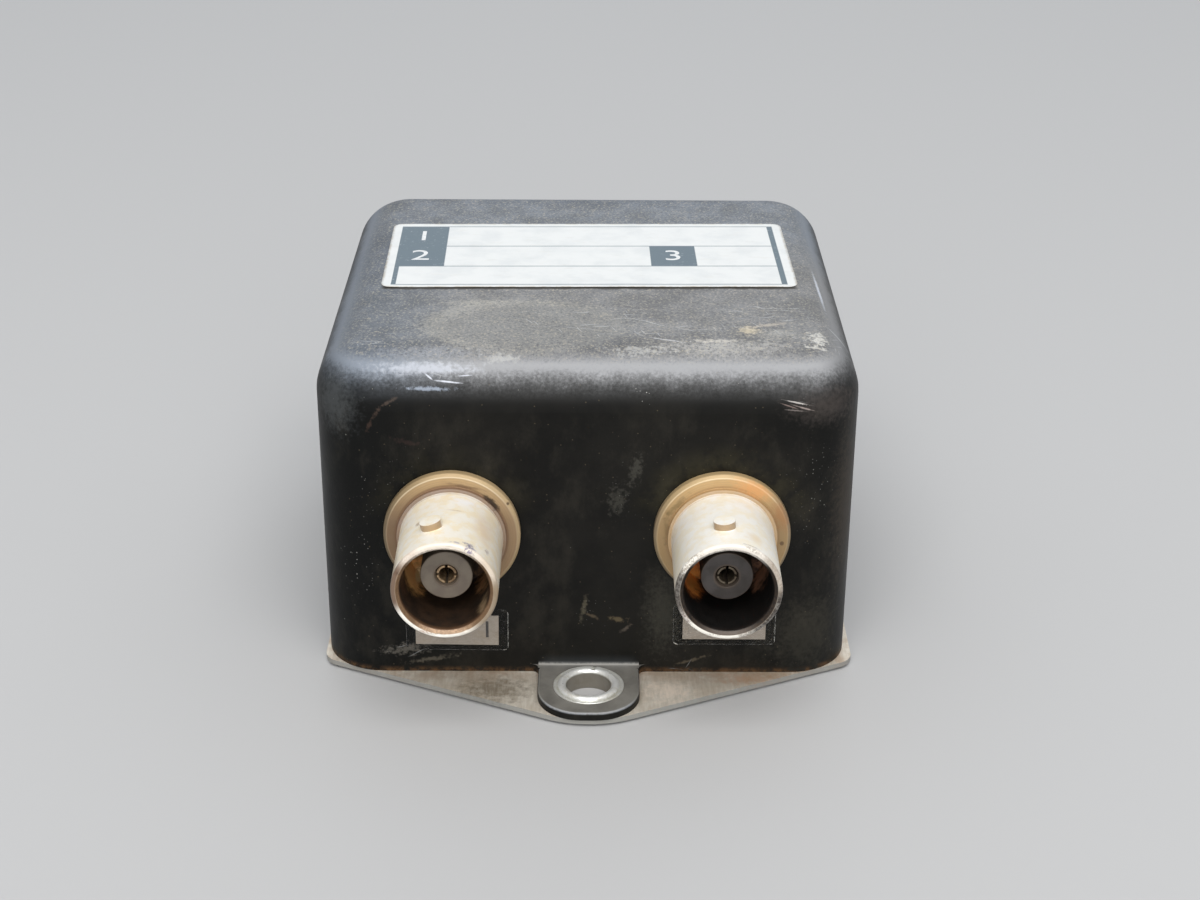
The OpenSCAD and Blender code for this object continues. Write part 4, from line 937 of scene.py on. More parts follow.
def insulator_nodes(side, face, shadow):
    """Turned insulator, duller toward its rim and specked with brown dirt."""
    axis = middle(f"{side}_jack_shell")

    def build(paint):
        point = paint.vector("SUBTRACT", paint.millimetres(), (axis.x, 0, axis.z))
        x, _, z = paint.parts(point)
        radius = paint.from_axis(x, z)
        rings = paint.use(TURNING, {"Point": point, "Rings": 6.0}, "Height")
        colour = paint.mix(paint.fade(paint.cloud(point, 0.7, 3.0, 0.6), 0.35, 0.65), face, shadow)
        rim = paint.calc(
            "MAXIMUM",
            paint.fade(radius, NOSE_R - 0.165, NOSE_R - 0.005),
            paint.fade(radius, COUNTERSINK_R + 0.26, COUNTERSINK_R + 0.07))
        colour = paint.wash(colour, tint(96, 80, 64), rim, 0.45)
        dirt = specks(paint, point, 0.4, 0.05, 0.30)
        if side == "right":
            lower_right = paint.fade(paint.calc("SUBTRACT", x, z), -0.6, 2.2)
            colour = paint.wash(colour, tint(48, 42, 38), lower_right, 0.45)
            dirt = paint.times(dirt, paint.calc("MULTIPLY_ADD", lower_right, 0.75, 0.25))
        colour = paint.wash(colour, tint(60, 46, 38), dirt, 0.55)
        return {"Base Color": colour, "Roughness": 0.55, "Normal": paint.relief(rings, 0.006)}

    return build


def worn_metal(bright, dull, scale=1.0, gloss=0.3, metallic=0.95):
    """Plain metal that is dull in patches, with a little grain."""
    def build(paint):
        point = paint.millimetres()
        patch = paint.cloud(point, scale, 4.0, 0.6)
        grain = paint.use(GRAIN, {"Point": point, "Fine": 9.0, "Broad": 0.8, "Waviness": 1.0})
        colour = paint.mix(paint.fade(patch, 0.4, 0.65), bright, dull)
        rough = paint.fade(patch, 0.3, 0.7, gloss, gloss + 0.16)
        relief = paint.relief(grain, 0.006)
        return {"Base Color": colour, "Roughness": rough, "Metallic": metallic, "Normal": relief}
    return build


def plain_body(base, patchy, scale=0.8, rough=0.5, grain_size=0.01):
    """A coated or moulded body, a little uneven in colour and surface, with dust on top."""
    def build(paint):
        point = paint.millimetres()
        patch = paint.cloud(point, scale, 4.0, 0.6)
        colour = paint.mix(paint.fade(patch, 0.35, 0.7), base, patchy)
        dust = paint.use(DUST, {"Point": point, "Low": 0.4, "High": 1.0, "Patches": 0.6, "Unevenness": 1.0})
        colour = paint.wash(colour, tint(170, 166, 158), dust, 0.10)
        grain = paint.use(GRAIN, {"Point": point, "Fine": 7.0, "Broad": 0.7, "Waviness": 1.5})
        shine = paint.fade(patch, 0.3, 0.7, rough - 0.06, rough + 0.08)
        return {"Base Color": colour, "Roughness": shine, "Normal": paint.relief(grain, grain_size)}
    return build


def board_nodes(paint):
    """Green lacquered board with the weave of its glass cloth showing through."""
    point = paint.millimetres()
    x, y, _ = paint.parts(point)
    across = paint.calc("SINE", paint.times(x, 7.0))
    along = paint.calc("SINE", paint.times(y, 7.0))
    weave = paint.calc("MULTIPLY_ADD", paint.times(across, along), 0.5, 0.5)
    colour = paint.mix(weave, tint(48, 104, 62), tint(66, 122, 76))
    amber = paint.fade(paint.cloud(point, 0.2, 3.0, 0.5), 0.55, 0.7)
    colour = paint.wash(colour, tint(96, 104, 52), amber, 0.4)
    rough = paint.fade(weave, 0.0, 1.0, 0.32, 0.42)
    return {"Base Color": colour, "Roughness": rough, "Normal": paint.relief(weave, 0.01)}


def nameplate_place(paint, point):
    """The place on the nameplate, counted from its left and front edges."""
    centre = middle("nameplate")
    own = paint.own_place(point, (centre.x, centre.y, 0), (0, 0, math.radians(PLATE_TURN)))
    return paint.vector("ADD", own, (PLATE_W / 2, PLATE_D / 2, 0))


# The nameplate's print: left, right, front and back edges, and whether it is a thin rule
FIELDS = [
    (0.95, 5.95, 5.95, 18.15, False),
    (0.95, 1.42, 0.72, 6.00, False),
    (27.05, 31.75, 6.00, 11.95, False),
    (39.85, 40.42, 0.72, 18.15, False),
    (0.95, 40.42, 18.06, 18.24, True),
    (0.95, 40.42, 0.58, 0.76, True),
    (5.90, 39.90, 11.90, 12.08, True),
    (1.40, 39.90, 5.86, 6.04, True),
]


def foil_nodes(paint):
    """White printed sheet: two dark panels and two bars with their rules, a little soiled at its rim."""
    point = paint.millimetres()
    own = nameplate_place(paint, point)
    half_sheet = (PLATE_W / 2, PLATE_D / 2, 0)
    dull = paint.cloud(point, 0.3, 4.0, 0.6)
    colour = paint.mix(paint.fade(dull, 0.4, 0.7), tint(220, 222, 222), tint(210, 213, 214))
    faded = paint.cloud(paint.vector("MULTIPLY", point, (0.6, 1.6, 1.0)), 0.9, 4.0, 0.6)
    colour = paint.wash(colour, tint(202, 200, 194), paint.fade(faded, 0.54, 0.72), 0.22)
    worn = paint.fade(paint.cloud(point, 2.4, 4.0, 0.7), 0.26, 0.42, 0.70, 1.0)
    for left, right, front, back, thin in FIELDS:
        mask = paint.use(FIELD, {
            "Point": own,
            "Centre": ((left + right) / 2, (front + back) / 2, 0),
            "Half": ((right - left) / 2, (back - front) / 2, 1)})
        ink = tint(104, 118, 128) if thin else tint(72, 93, 106)
        colour = paint.mix(paint.times(mask, worn), colour, ink)
    away = paint.vector("ABSOLUTE", paint.vector("SUBTRACT", own, half_sheet))
    beyond = paint.parts(paint.vector("SUBTRACT", away, half_sheet))
    rim = paint.fade(paint.calc("MAXIMUM", beyond[0], beyond[1]), -0.35, 0.0)
    soiled = paint.times(rim, paint.fade(paint.cloud(point, 1.3, 4.0, 0.7), 0.36, 0.60))
    colour = paint.wash(colour, tint(166, 152, 126), soiled, 0.60)
    colour = paint.wash(colour, tint(150, 136, 108), specks(paint, point, 1.2, 0.06, 0.30), 0.50)
    below = paint.fade(paint.upward(), -0.2, -0.6)
    colour = paint.mix(below, colour, tint(110, 98, 78))
    return {"Base Color": colour, "Roughness": 0.42, "Normal": paint.relief(dull, 0.03)}


def slip_nodes(paint):
    """Aged grey-pink paper with fibres."""
    point = paint.millimetres()
    fibres = paint.cloud(paint.vector("MULTIPLY", point, (1.0, 1.0, 4.0)), 2.5, 4.0, 0.7)
    colour = paint.mix(paint.fade(fibres, 0.3, 0.7), tint(164, 155, 145), tint(150, 141, 130))
    mark_tone = paint.fade(paint.cloud(point, 0.6, 4.0, 0.6), 0.5, 0.7)
    colour = paint.wash(colour, tint(150, 136, 118), mark_tone, 0.4)
    return {"Base Color": colour, "Roughness": 0.75, "Normal": paint.relief(fibres, 0.01)}


def film_nodes(side):
    """Clear film: nearly unseen over slip and block, pale on its very edge, the right one chipped white."""
    centre = middle(f"{side}_slip_film")
    half_w, half_h = FILM_W / 2, FILM_H / 2

    def build(paint):
        point = paint.vector("SUBTRACT", paint.millimetres(), centre)
        across, _, up = paint.parts(point)
        x, _, z = paint.parts(paint.vector("ABSOLUTE", point))
        past_side, past_end = paint.calc("SUBTRACT", x, half_w), paint.calc("SUBTRACT", z, half_h)
        from_edge = paint.calc("MAXIMUM", past_side, past_end)
        scuffed = paint.cloud(point, 1.4, 4.0, 0.7)
        edge = paint.times(
            paint.fade(from_edge, -0.11, -0.06),
            paint.fade(scuffed, 0.34, 0.62, 0.15, 1.0),
            paint.fade(across, half_w - 0.9, half_w - 0.3, 0.30, 1.0))
        alpha = paint.calc("ADD", paint.fade(scuffed, 0.45, 0.8, 0.01, 0.06), paint.times(edge, 0.46))
        colour = paint.mix(edge, tint(120, 120, 120), tint(176, 176, 170))
        if side == "right":
            slanted = paint.calc("MULTIPLY_ADD", across, FILM_CHIP_SLANT, up)
            corner = paint.calc("SUBTRACT", slanted, -half_w * FILM_CHIP_SLANT - half_h)
            lifted = paint.fade(corner, 0.36, 0.24)
            colour = paint.mix(lifted, colour, tint(214, 212, 204))
            alpha = paint.calc("MAXIMUM", alpha, paint.times(lifted, 0.85))
        rough = paint.fade(scuffed, 0.3, 0.7, 0.22, 0.38)
        relief = paint.relief(scuffed, 0.02)
        return {"Base Color": colour, "Roughness": rough, "Alpha": alpha, "Normal": relief}

    return build


# Meshes

def mesh_of(name, build):
    """A plain mesh in metres from what build adds in millimetres."""
    shape = bmesh.new()
    build(shape)
    bmesh.ops.remove_doubles(shape, verts=shape.verts, dist=1e-5)
    bmesh.ops.recalc_face_normals(shape, faces=shape.faces)
    bmesh.ops.scale(shape, vec=(MM, MM, MM), verts=shape.verts)
    for face in shape.faces:
        face.smooth = True
    mesh = bpy.data.meshes.new(name)
    shape.to_mesh(mesh)
    shape.free()
    return mesh


def linked(name, data):
    """A new object in the scene."""
    added = bpy.data.objects.new(name, data)
    bpy.context.scene.collection.objects.link(added)
    return added


def plain_mesh(holder):
    """The mesh that a letter or a modified object gives; the object itself is taken away."""
    bpy.context.view_layer.update()
    shown = holder.evaluated_get(bpy.context.evaluated_depsgraph_get())
    mesh = bpy.data.meshes.new_from_object(shown)
    bpy.data.objects.remove(holder)
    return mesh


def settle(name, mesh, material, slot, *nodes):
    """Puts a finished mesh in the scene as a piece of the part, standing for those CAD nodes."""
    piece = linked(name, mesh)
    mesh.materials.clear()
    mesh.materials.append(material)
    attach(piece, BODY)
    if nodes:
        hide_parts(*nodes)
    return piece


def rounded(corners, steps=4):
    """A closed outline of (radius, distance) points; each corner is given with the size of its rounding."""
    outline = []
    for i, (radius, distance, size) in enumerate(corners):
        here = Vector((radius, distance))
        before = Vector(corners[i - 1][:2])
        after = Vector(corners[(i + 1) % len(corners)][:2])
        if size == 0:
            outline.append(here)
            continue
        back, on = (before - here), (after - here)
        size = min(size, back.length * 0.45, on.length * 0.45)
        start, stop = here + back.normalized() * size, here + on.normalized() * size
        hold = size * 0.5
        if back.length > 3 * size:
            outline.append(start + back.normalized() * hold)
        for k in range(steps + 1):
            t = k / steps
            outline.append(start * (1 - t) ** 2 + here * 2 * t * (1 - t) + stop * t ** 2)
        if on.length > 3 * size:
            outline.append(stop + on.normalized() * hold)
    return [(p.x, p.y) for p in outline]


def spin(shape, outline, segments, place):
    """Turns a closed outline all the way round; place(radius, distance, angle) gives the spot."""
    rings = []
    for radius, distance in outline:
        if radius < 1e-6:
            rings.append([shape.verts.new(place(0.0, distance, 0.0))])
        else:
            angles = [math.tau * k / segments for k in range(segments)]
            rings.append([shape.verts.new(place(radius, distance, a)) for a in angles])
    for near, far in zip(rings, rings[1:] + rings[:1]):
        for k in range(segments):
            n = (k + 1) % segments
            if len(near) == 1 and len(far) == 1:
                break
            if len(near) == 1:
                shape.faces.new((near[0], far[k], far[n]))
            elif len(far) == 1:
                shape.faces.new((near[k], near[n], far[0]))
            else:
                shape.faces.new((near[k], near[n], far[n], far[k]))


def sheet(shape, width, depth, corner, columns, rows, place):
    """A thin rounded rectangle; place(across, along, side) gives the spot, side 1 being its face."""
    lines = []
    for j in range(rows + 1):
        along = (-math.cos(math.pi * j / rows) * 0.5) * depth
        from_end = depth / 2 - abs(along)
        inset = 0.0
        if from_end < corner:
            inset = corner - math.sqrt(max(corner ** 2 - (corner - from_end) ** 2, 0))
        half = width / 2 - inset
        lines.append([(-half + 2 * half * i / columns, along) for i in range(columns + 1)])
    face = [[shape.verts.new(place(a, b, 1)) for a, b in line] for line in lines]
    back = [[shape.verts.new(place(a, b, 0)) for a, b in line] for line in lines]
    for j in range(rows):
        for i in range(columns):
            shape.faces.new((face[j][i], face[j][i + 1], face[j + 1][i + 1], face[j + 1][i]))
            shape.faces.new((back[j][i], back[j + 1][i], back[j + 1][i + 1], back[j][i + 1]))
    border = [(0, i) for i in range(columns)] + [(j, columns) for j in range(rows)]
    border += [(rows, i) for i in range(columns, 0, -1)] + [(j, 0) for j in range(rows, 0, -1)]
    for (j, i), (m, n) in zip(border, border[1:] + border[:1]):
        shape.faces.new((face[j][i], back[j][i], back[m][n], face[m][n]))


def ripple(place, scale, seed=0.0):
    """Smooth noise from about -1 to 1 at a place in millimetres."""
    return noise.noise(Vector(place) * scale + Vector((seed, seed * 0.7, -seed)))


def soft_step(start, stop, value):
    t = min(max((value - start) / (stop - start), 0.0), 1.0)
    return t * t * (3 - 2 * t)


# The jacks

def jack_frame(side):
    """The axis of a jack and the Y of its flange's back."""
    axis = middle(f"{side}_jack_shell")
    return axis.x, low(f"{side}_jack_shell").y + MOUTH, axis.z


def round_axis(side, wobble=0.0, seed=0.0):
    """place() for a piece turned about a jack's axis, a little uneven where wobble is given."""
    x, front_y, z = jack_frame(side)

    def place(radius, distance, angle):
        spot = (radius * math.cos(angle), distance, radius * math.sin(angle))
        grow = wobble * ripple(spot, 0.35, seed)
        radius = radius + grow if radius > 0.5 else radius
        return Vector((x + radius * math.cos(angle), front_y - distance, z + radius * math.sin(angle)))

    return place


def shell_shape(side):
    """Flange, collar and barrel from one bar, with the rim nicked by the plugs that it has met."""
    inner, boss = INSULATOR_R + PIN_GAP, BOSS_R + PIN_GAP
    section = rounded([
        (LIP_R, MOUTH, 0.05), (SOCKET_R, MOUTH - 0.30, 0.08), (SOCKET_R, SOCKET_FLOOR, 0.10),
        (NOSE_R + PIN_GAP, SOCKET_FLOOR, 0.05), (NOSE_R + PIN_GAP, WEB_BACK, 0.05),
        (inner, WEB_BACK, 0.05), (inner, ROLLED_EDGE, 0.05), (boss, ROLLED_EDGE, 0.05),
        (boss, TAIL_END, 0.05), (TAIL_R - 0.25, TAIL_END, 0.05), (TAIL_R, TAIL_END + 0.25, 0.05),
        (TAIL_R, 0, 0.02), (FLANGE_R, 0, 0.10), (FLANGE_R, 0.70, 0.10), (BEVEL_R, 1.0, 0.10),
        (COLLAR_R, 1.0, 0.06), (COLLAR_R, 1.5, 0.10), (BARREL_R, 1.5, 0.05),
        (BARREL_R, MOUTH - 0.22, 0.10), (BARREL_R - 0.07, MOUTH - 0.07, 0.06), (RIM_R, MOUTH, 0.08),
    ])
    even = round_axis(side, 0.02, 3.0)
    seed = 11.0 if side == "left" else 23.0

    def nicked(radius, distance, angle):
        spot = even(radius, distance, angle)
        at_rim = soft_step(MOUTH - 0.35, MOUTH, distance)
        chip = max(0.0, ripple((math.cos(angle) * 4, math.sin(angle) * 4, radius), 1.9, seed) - 0.34)
        return spot + Vector((0, 0.24 * chip * at_rim, 0))

    def build(shape):
        spin(shape, section, 192, nicked)
        add_lugs(shape, side)

    return build


def add_lugs(shape, side):
    """The two round bayonet lugs, each pressed into the barrel with its end domed."""
    x, front_y, z = jack_frame(side)
    turn = math.radians(LUG_TURN[side])
    out = Vector((-math.sin(turn), 0, math.cos(turn)))
    wide = Vector((math.cos(turn), 0, math.sin(turn)))
    root = LIP_R
    section = rounded([(0, root, 0), (LUG_R, root, 0.02), (LUG_R, LUG_REACH - 0.02, 0.07), (0, LUG_REACH, 0)])
    middle_of_lug = Vector((x, front_y - (MOUTH - LUG_BACK), z))
    for sign in (1, -1):
        def place(radius, distance, angle):
            across = wide * (radius * math.cos(angle)) + Vector((0, radius * math.sin(angle), 0))
            return middle_of_lug + out * (sign * distance) + across
        spin(shape, section, 40, place)


def insulator_shape(side):
    """Stepped insulator whose nose stands in the socket, countersunk round the contact."""
    hole = CONTACT_R + PIN_GAP
    section = rounded([
        (COUNTERSINK_R, INSULATOR_FACE, 0.05), (NOSE_R, INSULATOR_FACE, 0.10), (NOSE_R, WEB_BACK, 0.05),
        (INSULATOR_R, WEB_BACK, 0.10), (INSULATOR_R, ROLLED_EDGE, 0.10), (BOSS_R, ROLLED_EDGE, 0.05),
        (BOSS_R, BOSS_END, 0.10), (SHANK_R + PIN_GAP, BOSS_END, 0.03), (SHANK_R + PIN_GAP, SHANK_FRONT, 0.03),
        (hole, SHANK_FRONT, 0.03), (hole, INSULATOR_FACE - 0.30, 0.03),
    ])
    return lambda shape: spin(shape, section, 96, round_axis(side))


def contact_body_shape(side):
    """The solid part of a centre contact: root of the tines, shank and solder cup."""
    cup_floor = CUP_END + CUP_DEPTH
    section = rounded([
        (0, TINE_ROOT, 0), (CONTACT_R, TINE_ROOT, 0.02), (CONTACT_R, SHANK_FRONT, 0.03),
        (SHANK_R, SHANK_FRONT, 0.08), (SHANK_R, BOSS_END, 0.08), (CUP_R, BOSS_END, 0.03),
        (CUP_R, CUP_END, 0.12), (CUP_BORE_R, CUP_END, 0.08), (CUP_BORE_R, cup_floor, 0.05), (0, cup_floor, 0),
    ])
    return lambda shape: spin(shape, section, 64, round_axis(side))


def tine_shape(side):
    """One of a contact's four spring tines, its tip rounded to lead a pin in."""
    x, front_y, z = jack_frame(side)
    root = TINE_ROOT - 0.1
    section = rounded([
        (BORE_R, root, 0), (CONTACT_R, root, 0), (CONTACT_R - 0.02, CONTACT_FRONT, 0.11),
        (BORE_R, CONTACT_FRONT, 0.12),
    ])
    half_slot, steps = 0.11, 10

    def build(shape):
        rings = []
        for k in range(steps + 1):
            ring = []
            for radius, distance in section:
                skip = math.asin(half_slot / radius)
                angle = skip + (math.pi / 2 - 2 * skip) * k / steps
                aside, above = radius * math.cos(angle), radius * math.sin(angle)
                ring.append(shape.verts.new((x + aside, front_y - distance, z + above)))
            rings.append(ring)
        for near, far in zip(rings, rings[1:]):
            for i in range(len(section)):
                n = (i + 1) % len(section)
                shape.faces.new((near[i], near[n], far[n], far[i]))
        shape.faces.new(rings[0])
        shape.faces.new(rings[-1])

    return build


# Geometry Nodes

class Tree(Paint):
    """A Geometry Nodes tree with named inputs, applied to an object to give a plain mesh."""

    def __init__(self, name, inputs):
        super().__init__(bpy.data.node_groups.new(name, "GeometryNodeTree"))
        sockets = self.tree.interface
        sockets.new_socket("Geometry", in_out="INPUT", socket_type="NodeSocketGeometry")
        self.identifiers = {}
        for label, kind, value in inputs:
            socket = sockets.new_socket(label, in_out="INPUT", socket_type=kind)
            if value is not None:
                socket.default_value = value
            self.identifiers[label] = socket.identifier
        sockets.new_socket("Geometry", in_out="OUTPUT", socket_type="NodeSocketGeometry")
        self.entry = self.tree.nodes.new("NodeGroupInput").outputs

    def close(self, geometry):
        """Ends the tree: copies made real, and the material set."""
        real = self.put("GeometryNodeRealizeInstances", {"Geometry": geometry}).outputs[0]
        painted = self.put("GeometryNodeSetMaterial", {"Geometry": real, "Material": self.entry["Material"]})
        self.feed(self.tree.nodes.new("NodeGroupOutput").inputs[0], painted.outputs[0])

    def bake(self, name, source, values):
        """The mesh that the tree makes of a source mesh with these input values."""
        holder = linked(name, source)
        modifier = holder.modifiers.new(name, "NODES")
        modifier.node_group = self.tree
        for label, value in values.items():
            modifier[self.identifiers[label]] = value
        result = plain_mesh(holder)
        result.name = name
        return result


def ring_tree():
    """Repeats a shape evenly round an axis."""
    tree = Tree("Copies round an axis", [
        ("Count", "NodeSocketInt", 4), ("Centre", "NodeSocketVector", None),
        ("Axis", "NodeSocketVector", (0, 1, 0)), ("Material", "NodeSocketMaterial", None)])
    entry = tree.entry
    centre = entry["Centre"]
    away = tree.put("ShaderNodeVectorMath", {0: centre, "Scale": -1.0}, operation="SCALE").outputs[0]
    homed = tree.put("GeometryNodeTransform", {"Geometry": entry["Geometry"], "Translation": away}).outputs[0]
    points = tree.put("GeometryNodePoints", {"Count": entry["Count"], "Position": centre}).outputs[0]
    share = tree.calc("DIVIDE", tree.put("GeometryNodeInputIndex").outputs[0], entry["Count"])
    turn = {"Axis": entry["Axis"], "Angle": tree.times(share, math.tau)}
    rotation = tree.put("FunctionNodeAxisAngleToRotation", turn).outputs[0]
    inputs = {"Points": points, "Instance": homed, "Rotation": rotation}
    tree.close(tree.put("GeometryNodeInstanceOnPoints", inputs).outputs[0])
    return tree


def joined(name, meshes):
    """One mesh from several."""
    shape = bmesh.new()
    for mesh in meshes:
        shape.from_mesh(mesh)
    mesh = bpy.data.meshes.new(name)
    shape.to_mesh(mesh)
    shape.free()
    return mesh


# The eyelets

def eyelet_shape(node, facing):
    """Flange below, bore through the plate and the tab, and a curl on top that split once as it rolled."""
    centre = middle(node)
    bore, top = EYELET_BORE_R, TAB_TOP
    curl_x = bore + CURL_R
    inner_curl = CURL_R - EYELET_WALL
    arc = [math.radians(a) for a in range(180, -1, -12)]
    over = [(curl_x + CURL_R * math.cos(a), top + CURL_R * math.sin(a), 0) for a in arc]
    under = [(curl_x + inner_curl * math.cos(a), top + inner_curl * math.sin(a), 0) for a in reversed(arc)]
    lip_out, lip_in = curl_x + CURL_R + LIP_W, curl_x + inner_curl
    section = rounded(
        [(bore, 0, 0.06)] + [(bore, z, 0) for z in (0.3, 0.6, 0.9, 1.2, 1.45)] + over
        + [(curl_x + CURL_R + 0.02, top + 0.06, 0), (lip_out - LIP_W * 0.7, top + LIP_T * 0.6, 0),
           (lip_out - LIP_W * 0.35, top + LIP_T, 0), (lip_out - 0.02, top + LIP_T * 0.8, 0),
           (lip_out, top + 0.02, 0.03), (lip_in, top + 0.01, 0)]
        + under[:-1] + [(bore + EYELET_WALL, top, 0), (bore + EYELET_WALL, EYELET_FLANGE_T, 0.04),
                        (EYELET_FLANGE_R, EYELET_FLANGE_T, 0.08), (EYELET_FLANGE_R, 0, 0.08)])
    split = math.radians(SPLIT_ANGLE + facing)
    seat = top + CURL_SEAT

    def place(radius, height, angle):
        round_it = (math.cos(angle) * 3, math.sin(angle) * 3, 0)
        rolled = soft_step(top - 0.1, top + 0.3, height)
        radius += rolled * 0.020 * ripple(round_it, 1.1, 4.0)
        lump = 0.5 + 0.5 * ripple(round_it, 1.7, 7.0)
        height -= rolled * 0.03 * lump
        gap = abs((angle - split + math.pi) % math.tau - math.pi) * radius
        past_wall = soft_step(bore + EYELET_WALL * 0.6, bore + EYELET_WALL * 1.4, radius)
        open_here = math.exp(-(gap / SPLIT_HALF_W) ** 4) * past_wall
        if height > seat:
            height = seat + (height - top - CURL_SEAT) * (1 - SPLIT_DEPTH * open_here)
        return Vector((centre.x + radius * math.cos(angle), centre.y + radius * math.sin(angle), height))

    return lambda shape: spin(shape, section, 240, place)


# The nameplate, the slips and their films

def nameplate_spot(across, along, height):
    """A spot on the nameplate from its middle and the block's top, in the part's frame."""
    centre = middle("nameplate")
    turn = Matrix.Rotation(math.radians(PLATE_TURN), 3, "Z")
    return Vector((centre.x, centre.y, low("nameplate").z)) + turn @ Vector((across, along, height))


def nameplate_lift(across, along):
    """How far the foil stands off the block: its front edge and left corner have let go a little."""
    from_front = along + PLATE_D / 2
    free = 1 - soft_step(0.0, 1.6, from_front)
    wave = 0.5 + 0.5 * ripple((across, 0, 0), 0.16, 2.0)
    corner = (1 - soft_step(0, 3.0, across + PLATE_W / 2)) * (1 - soft_step(0, 3.0, from_front))
    return 0.003 + 0.050 * free * wave + 0.016 * corner


def nameplate_shape(shape):
    def place(across, along, side):
        return nameplate_spot(across, along, nameplate_lift(across, along) + side * FOIL_T)
    sheet(shape, PLATE_W, PLATE_D, PLATE_CORNER, 150, 64, place)


def film_shape(side):
    """Film laid over a slip: it steps down off the slip's edge and is stuck to the block all round."""
    centre = middle(f"{side}_slip_film")
    front_y = high(f"{side}_slip_film").y
    turn = Matrix.Rotation(math.radians(-FILM_TURN[side]), 3, "Y")

    def place(across, up, face):
        beyond = max(abs(across) - SLIP_W / 2, abs(up) - SLIP_H / 2)
        over_slip = 1 - soft_step(0.02, 0.30, beyond)
        bubble = 0.012 * max(0.0, ripple((across, up, 0), 0.9, 5.0))
        height = 0.012 + 0.13 * over_slip + bubble + 0.03 * face
        return Vector((centre.x, front_y - height, centre.z)) + turn @ Vector((across, 0, up))

    return lambda shape: sheet(shape, FILM_W, FILM_H, FILM_CORNER, 90, 48, place)


def numeral(name, text, size, place, material, slot):
    """A generic printed figure, as a film of ink laid by place, a matrix in metres."""
    curve = bpy.data.curves.new(name, "FONT")
    curve.body = text
    curve.size = size * MM
    curve.extrude = INK_T / 2 * MM
    curve.align_x = "CENTER"
    curve.align_y = "CENTER"
    mesh = plain_mesh(linked(name, curve))
    mesh.transform(place)
    return settle(name, mesh, material, slot)


# Everything in its place

SIDES = ("left", "right")
FINISHES = {
    "moulding": finish_of("Black satin moulding", moulding_nodes, {"Specular IOR Level": 0.17}),
    "plate_metal": finish_of("Dull tinned sheet", plate_nodes),
    "eyelet_metal": finish_of("Pitted bright tin", eyelet_nodes),
    "left_contact": finish_of(
        "Worn gold plate", worn_metal(tint(172, 146, 114), tint(128, 104, 78), 2.2, 0.34, 0.45)),
    "right_contact": finish_of(
        "Blackened gold plate", worn_metal(tint(104, 94, 80), tint(84, 72, 58), 2.2, 0.34, 0.45)),
    "tinned_brass": finish_of(
        "Dull tin plate", worn_metal(tint(204, 202, 194), tint(166, 160, 146), 1.2, 0.36)),
    "spring_steel": finish_of(
        "Zinc plated spring steel", worn_metal(tint(186, 187, 184), tint(150, 148, 140), 1.0, 0.32)),
    "nut_metal": finish_of(
        "Dull nickel plate", worn_metal(tint(206, 198, 172), tint(170, 156, 122), 0.8, 0.34)),
    "board": finish_of("Green lacquered board", board_nodes),
    "ferrite": finish_of("Ferrite", plain_body(tint(62, 63, 66), tint(82, 80, 80), 0.9, 0.5, 0.02)),
    "enamelled_wire": finish_of(
        "Enamelled copper wire", worn_metal(tint(196, 104, 52), tint(160, 76, 38), 0.7, 0.22, 0.8),
        {"Coat Weight": 0.6, "Coat Roughness": 0.08}),
    "resistor_body": finish_of(
        "Resistor lacquer", plain_body(tint(206, 176, 134), tint(190, 156, 112), 0.9, 0.3),
        {"Coat Weight": 0.4, "Coat Roughness": 0.12}),
    "capacitor_body": finish_of(
        "Dipped resin", plain_body(tint(214, 158, 84), tint(196, 132, 62), 0.6, 0.26, 0.03),
        {"Coat Weight": 0.5, "Coat Roughness": 0.1}),
    "nameplate_foil": finish_of("Printed white foil", foil_nodes),
    "slip_paper": finish_of("Aged slip paper", slip_nodes),
    "left_insulation": finish_of(
        "Light insulator", insulator_nodes("left", tint(123, 113, 100), tint(112, 101, 90))),
    "right_insulation": finish_of(
        "Dark insulator", insulator_nodes("right", tint(73, 68, 66), tint(58, 53, 50))),
    "white_ink": finish_of("White ink", plain_body(tint(232, 234, 236), tint(214, 217, 220), 2.0, 0.5)),
    "dark_ink": finish_of("Dark ink", plain_body(tint(58, 56, 56), tint(74, 70, 68), 2.0, 0.6)),
}
for side in SIDES:
    FINISHES[f"{side}_silver"] = finish_of(f"Aged silver plate {side}", jack_nodes(side))
    FINISHES[f"{side}_film"] = finish_of(f"Clear film {side}", film_nodes(side))


def dress_nodes():
    """Gives every CAD node its finish, also the ones that a scene piece stands for."""
    finish_of_node = {
        "housing": "moulding", "base_plate": "plate_metal", "circuit_board": "board",
        "board_screws": "spring_steel", "ring_core": "ferrite", "core_winding": "enamelled_wire",
        "balance_resistor": "resistor_body", "left_capacitor": "capacitor_body",
        "right_capacitor": "capacitor_body", "front_eyelet": "eyelet_metal",
        "rear_eyelet": "eyelet_metal", "nameplate": "nameplate_foil",
    }
    for side in SIDES:
        finish_of_node.update({
            f"{side}_solder_tag": "tinned_brass", f"{side}_lock_washer": "spring_steel",
            f"{side}_jack_nut": "nut_metal", f"{side}_port_lead": "tinned_brass",
            f"{side}_ground_lead": "tinned_brass", f"{side}_port_slip": "slip_paper",
            f"{side}_jack_shell": f"{side}_silver", f"{side}_insulator": f"{side}_insulation",
            f"{side}_contact": f"{side}_contact", f"{side}_slip_film": f"{side}_film",
        })
    for name, finish in finish_of_node.items():
        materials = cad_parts[name].data.materials
        if not materials:
            materials.append(None)
        for i in range(len(materials)):
            materials[i] = FINISHES[finish]


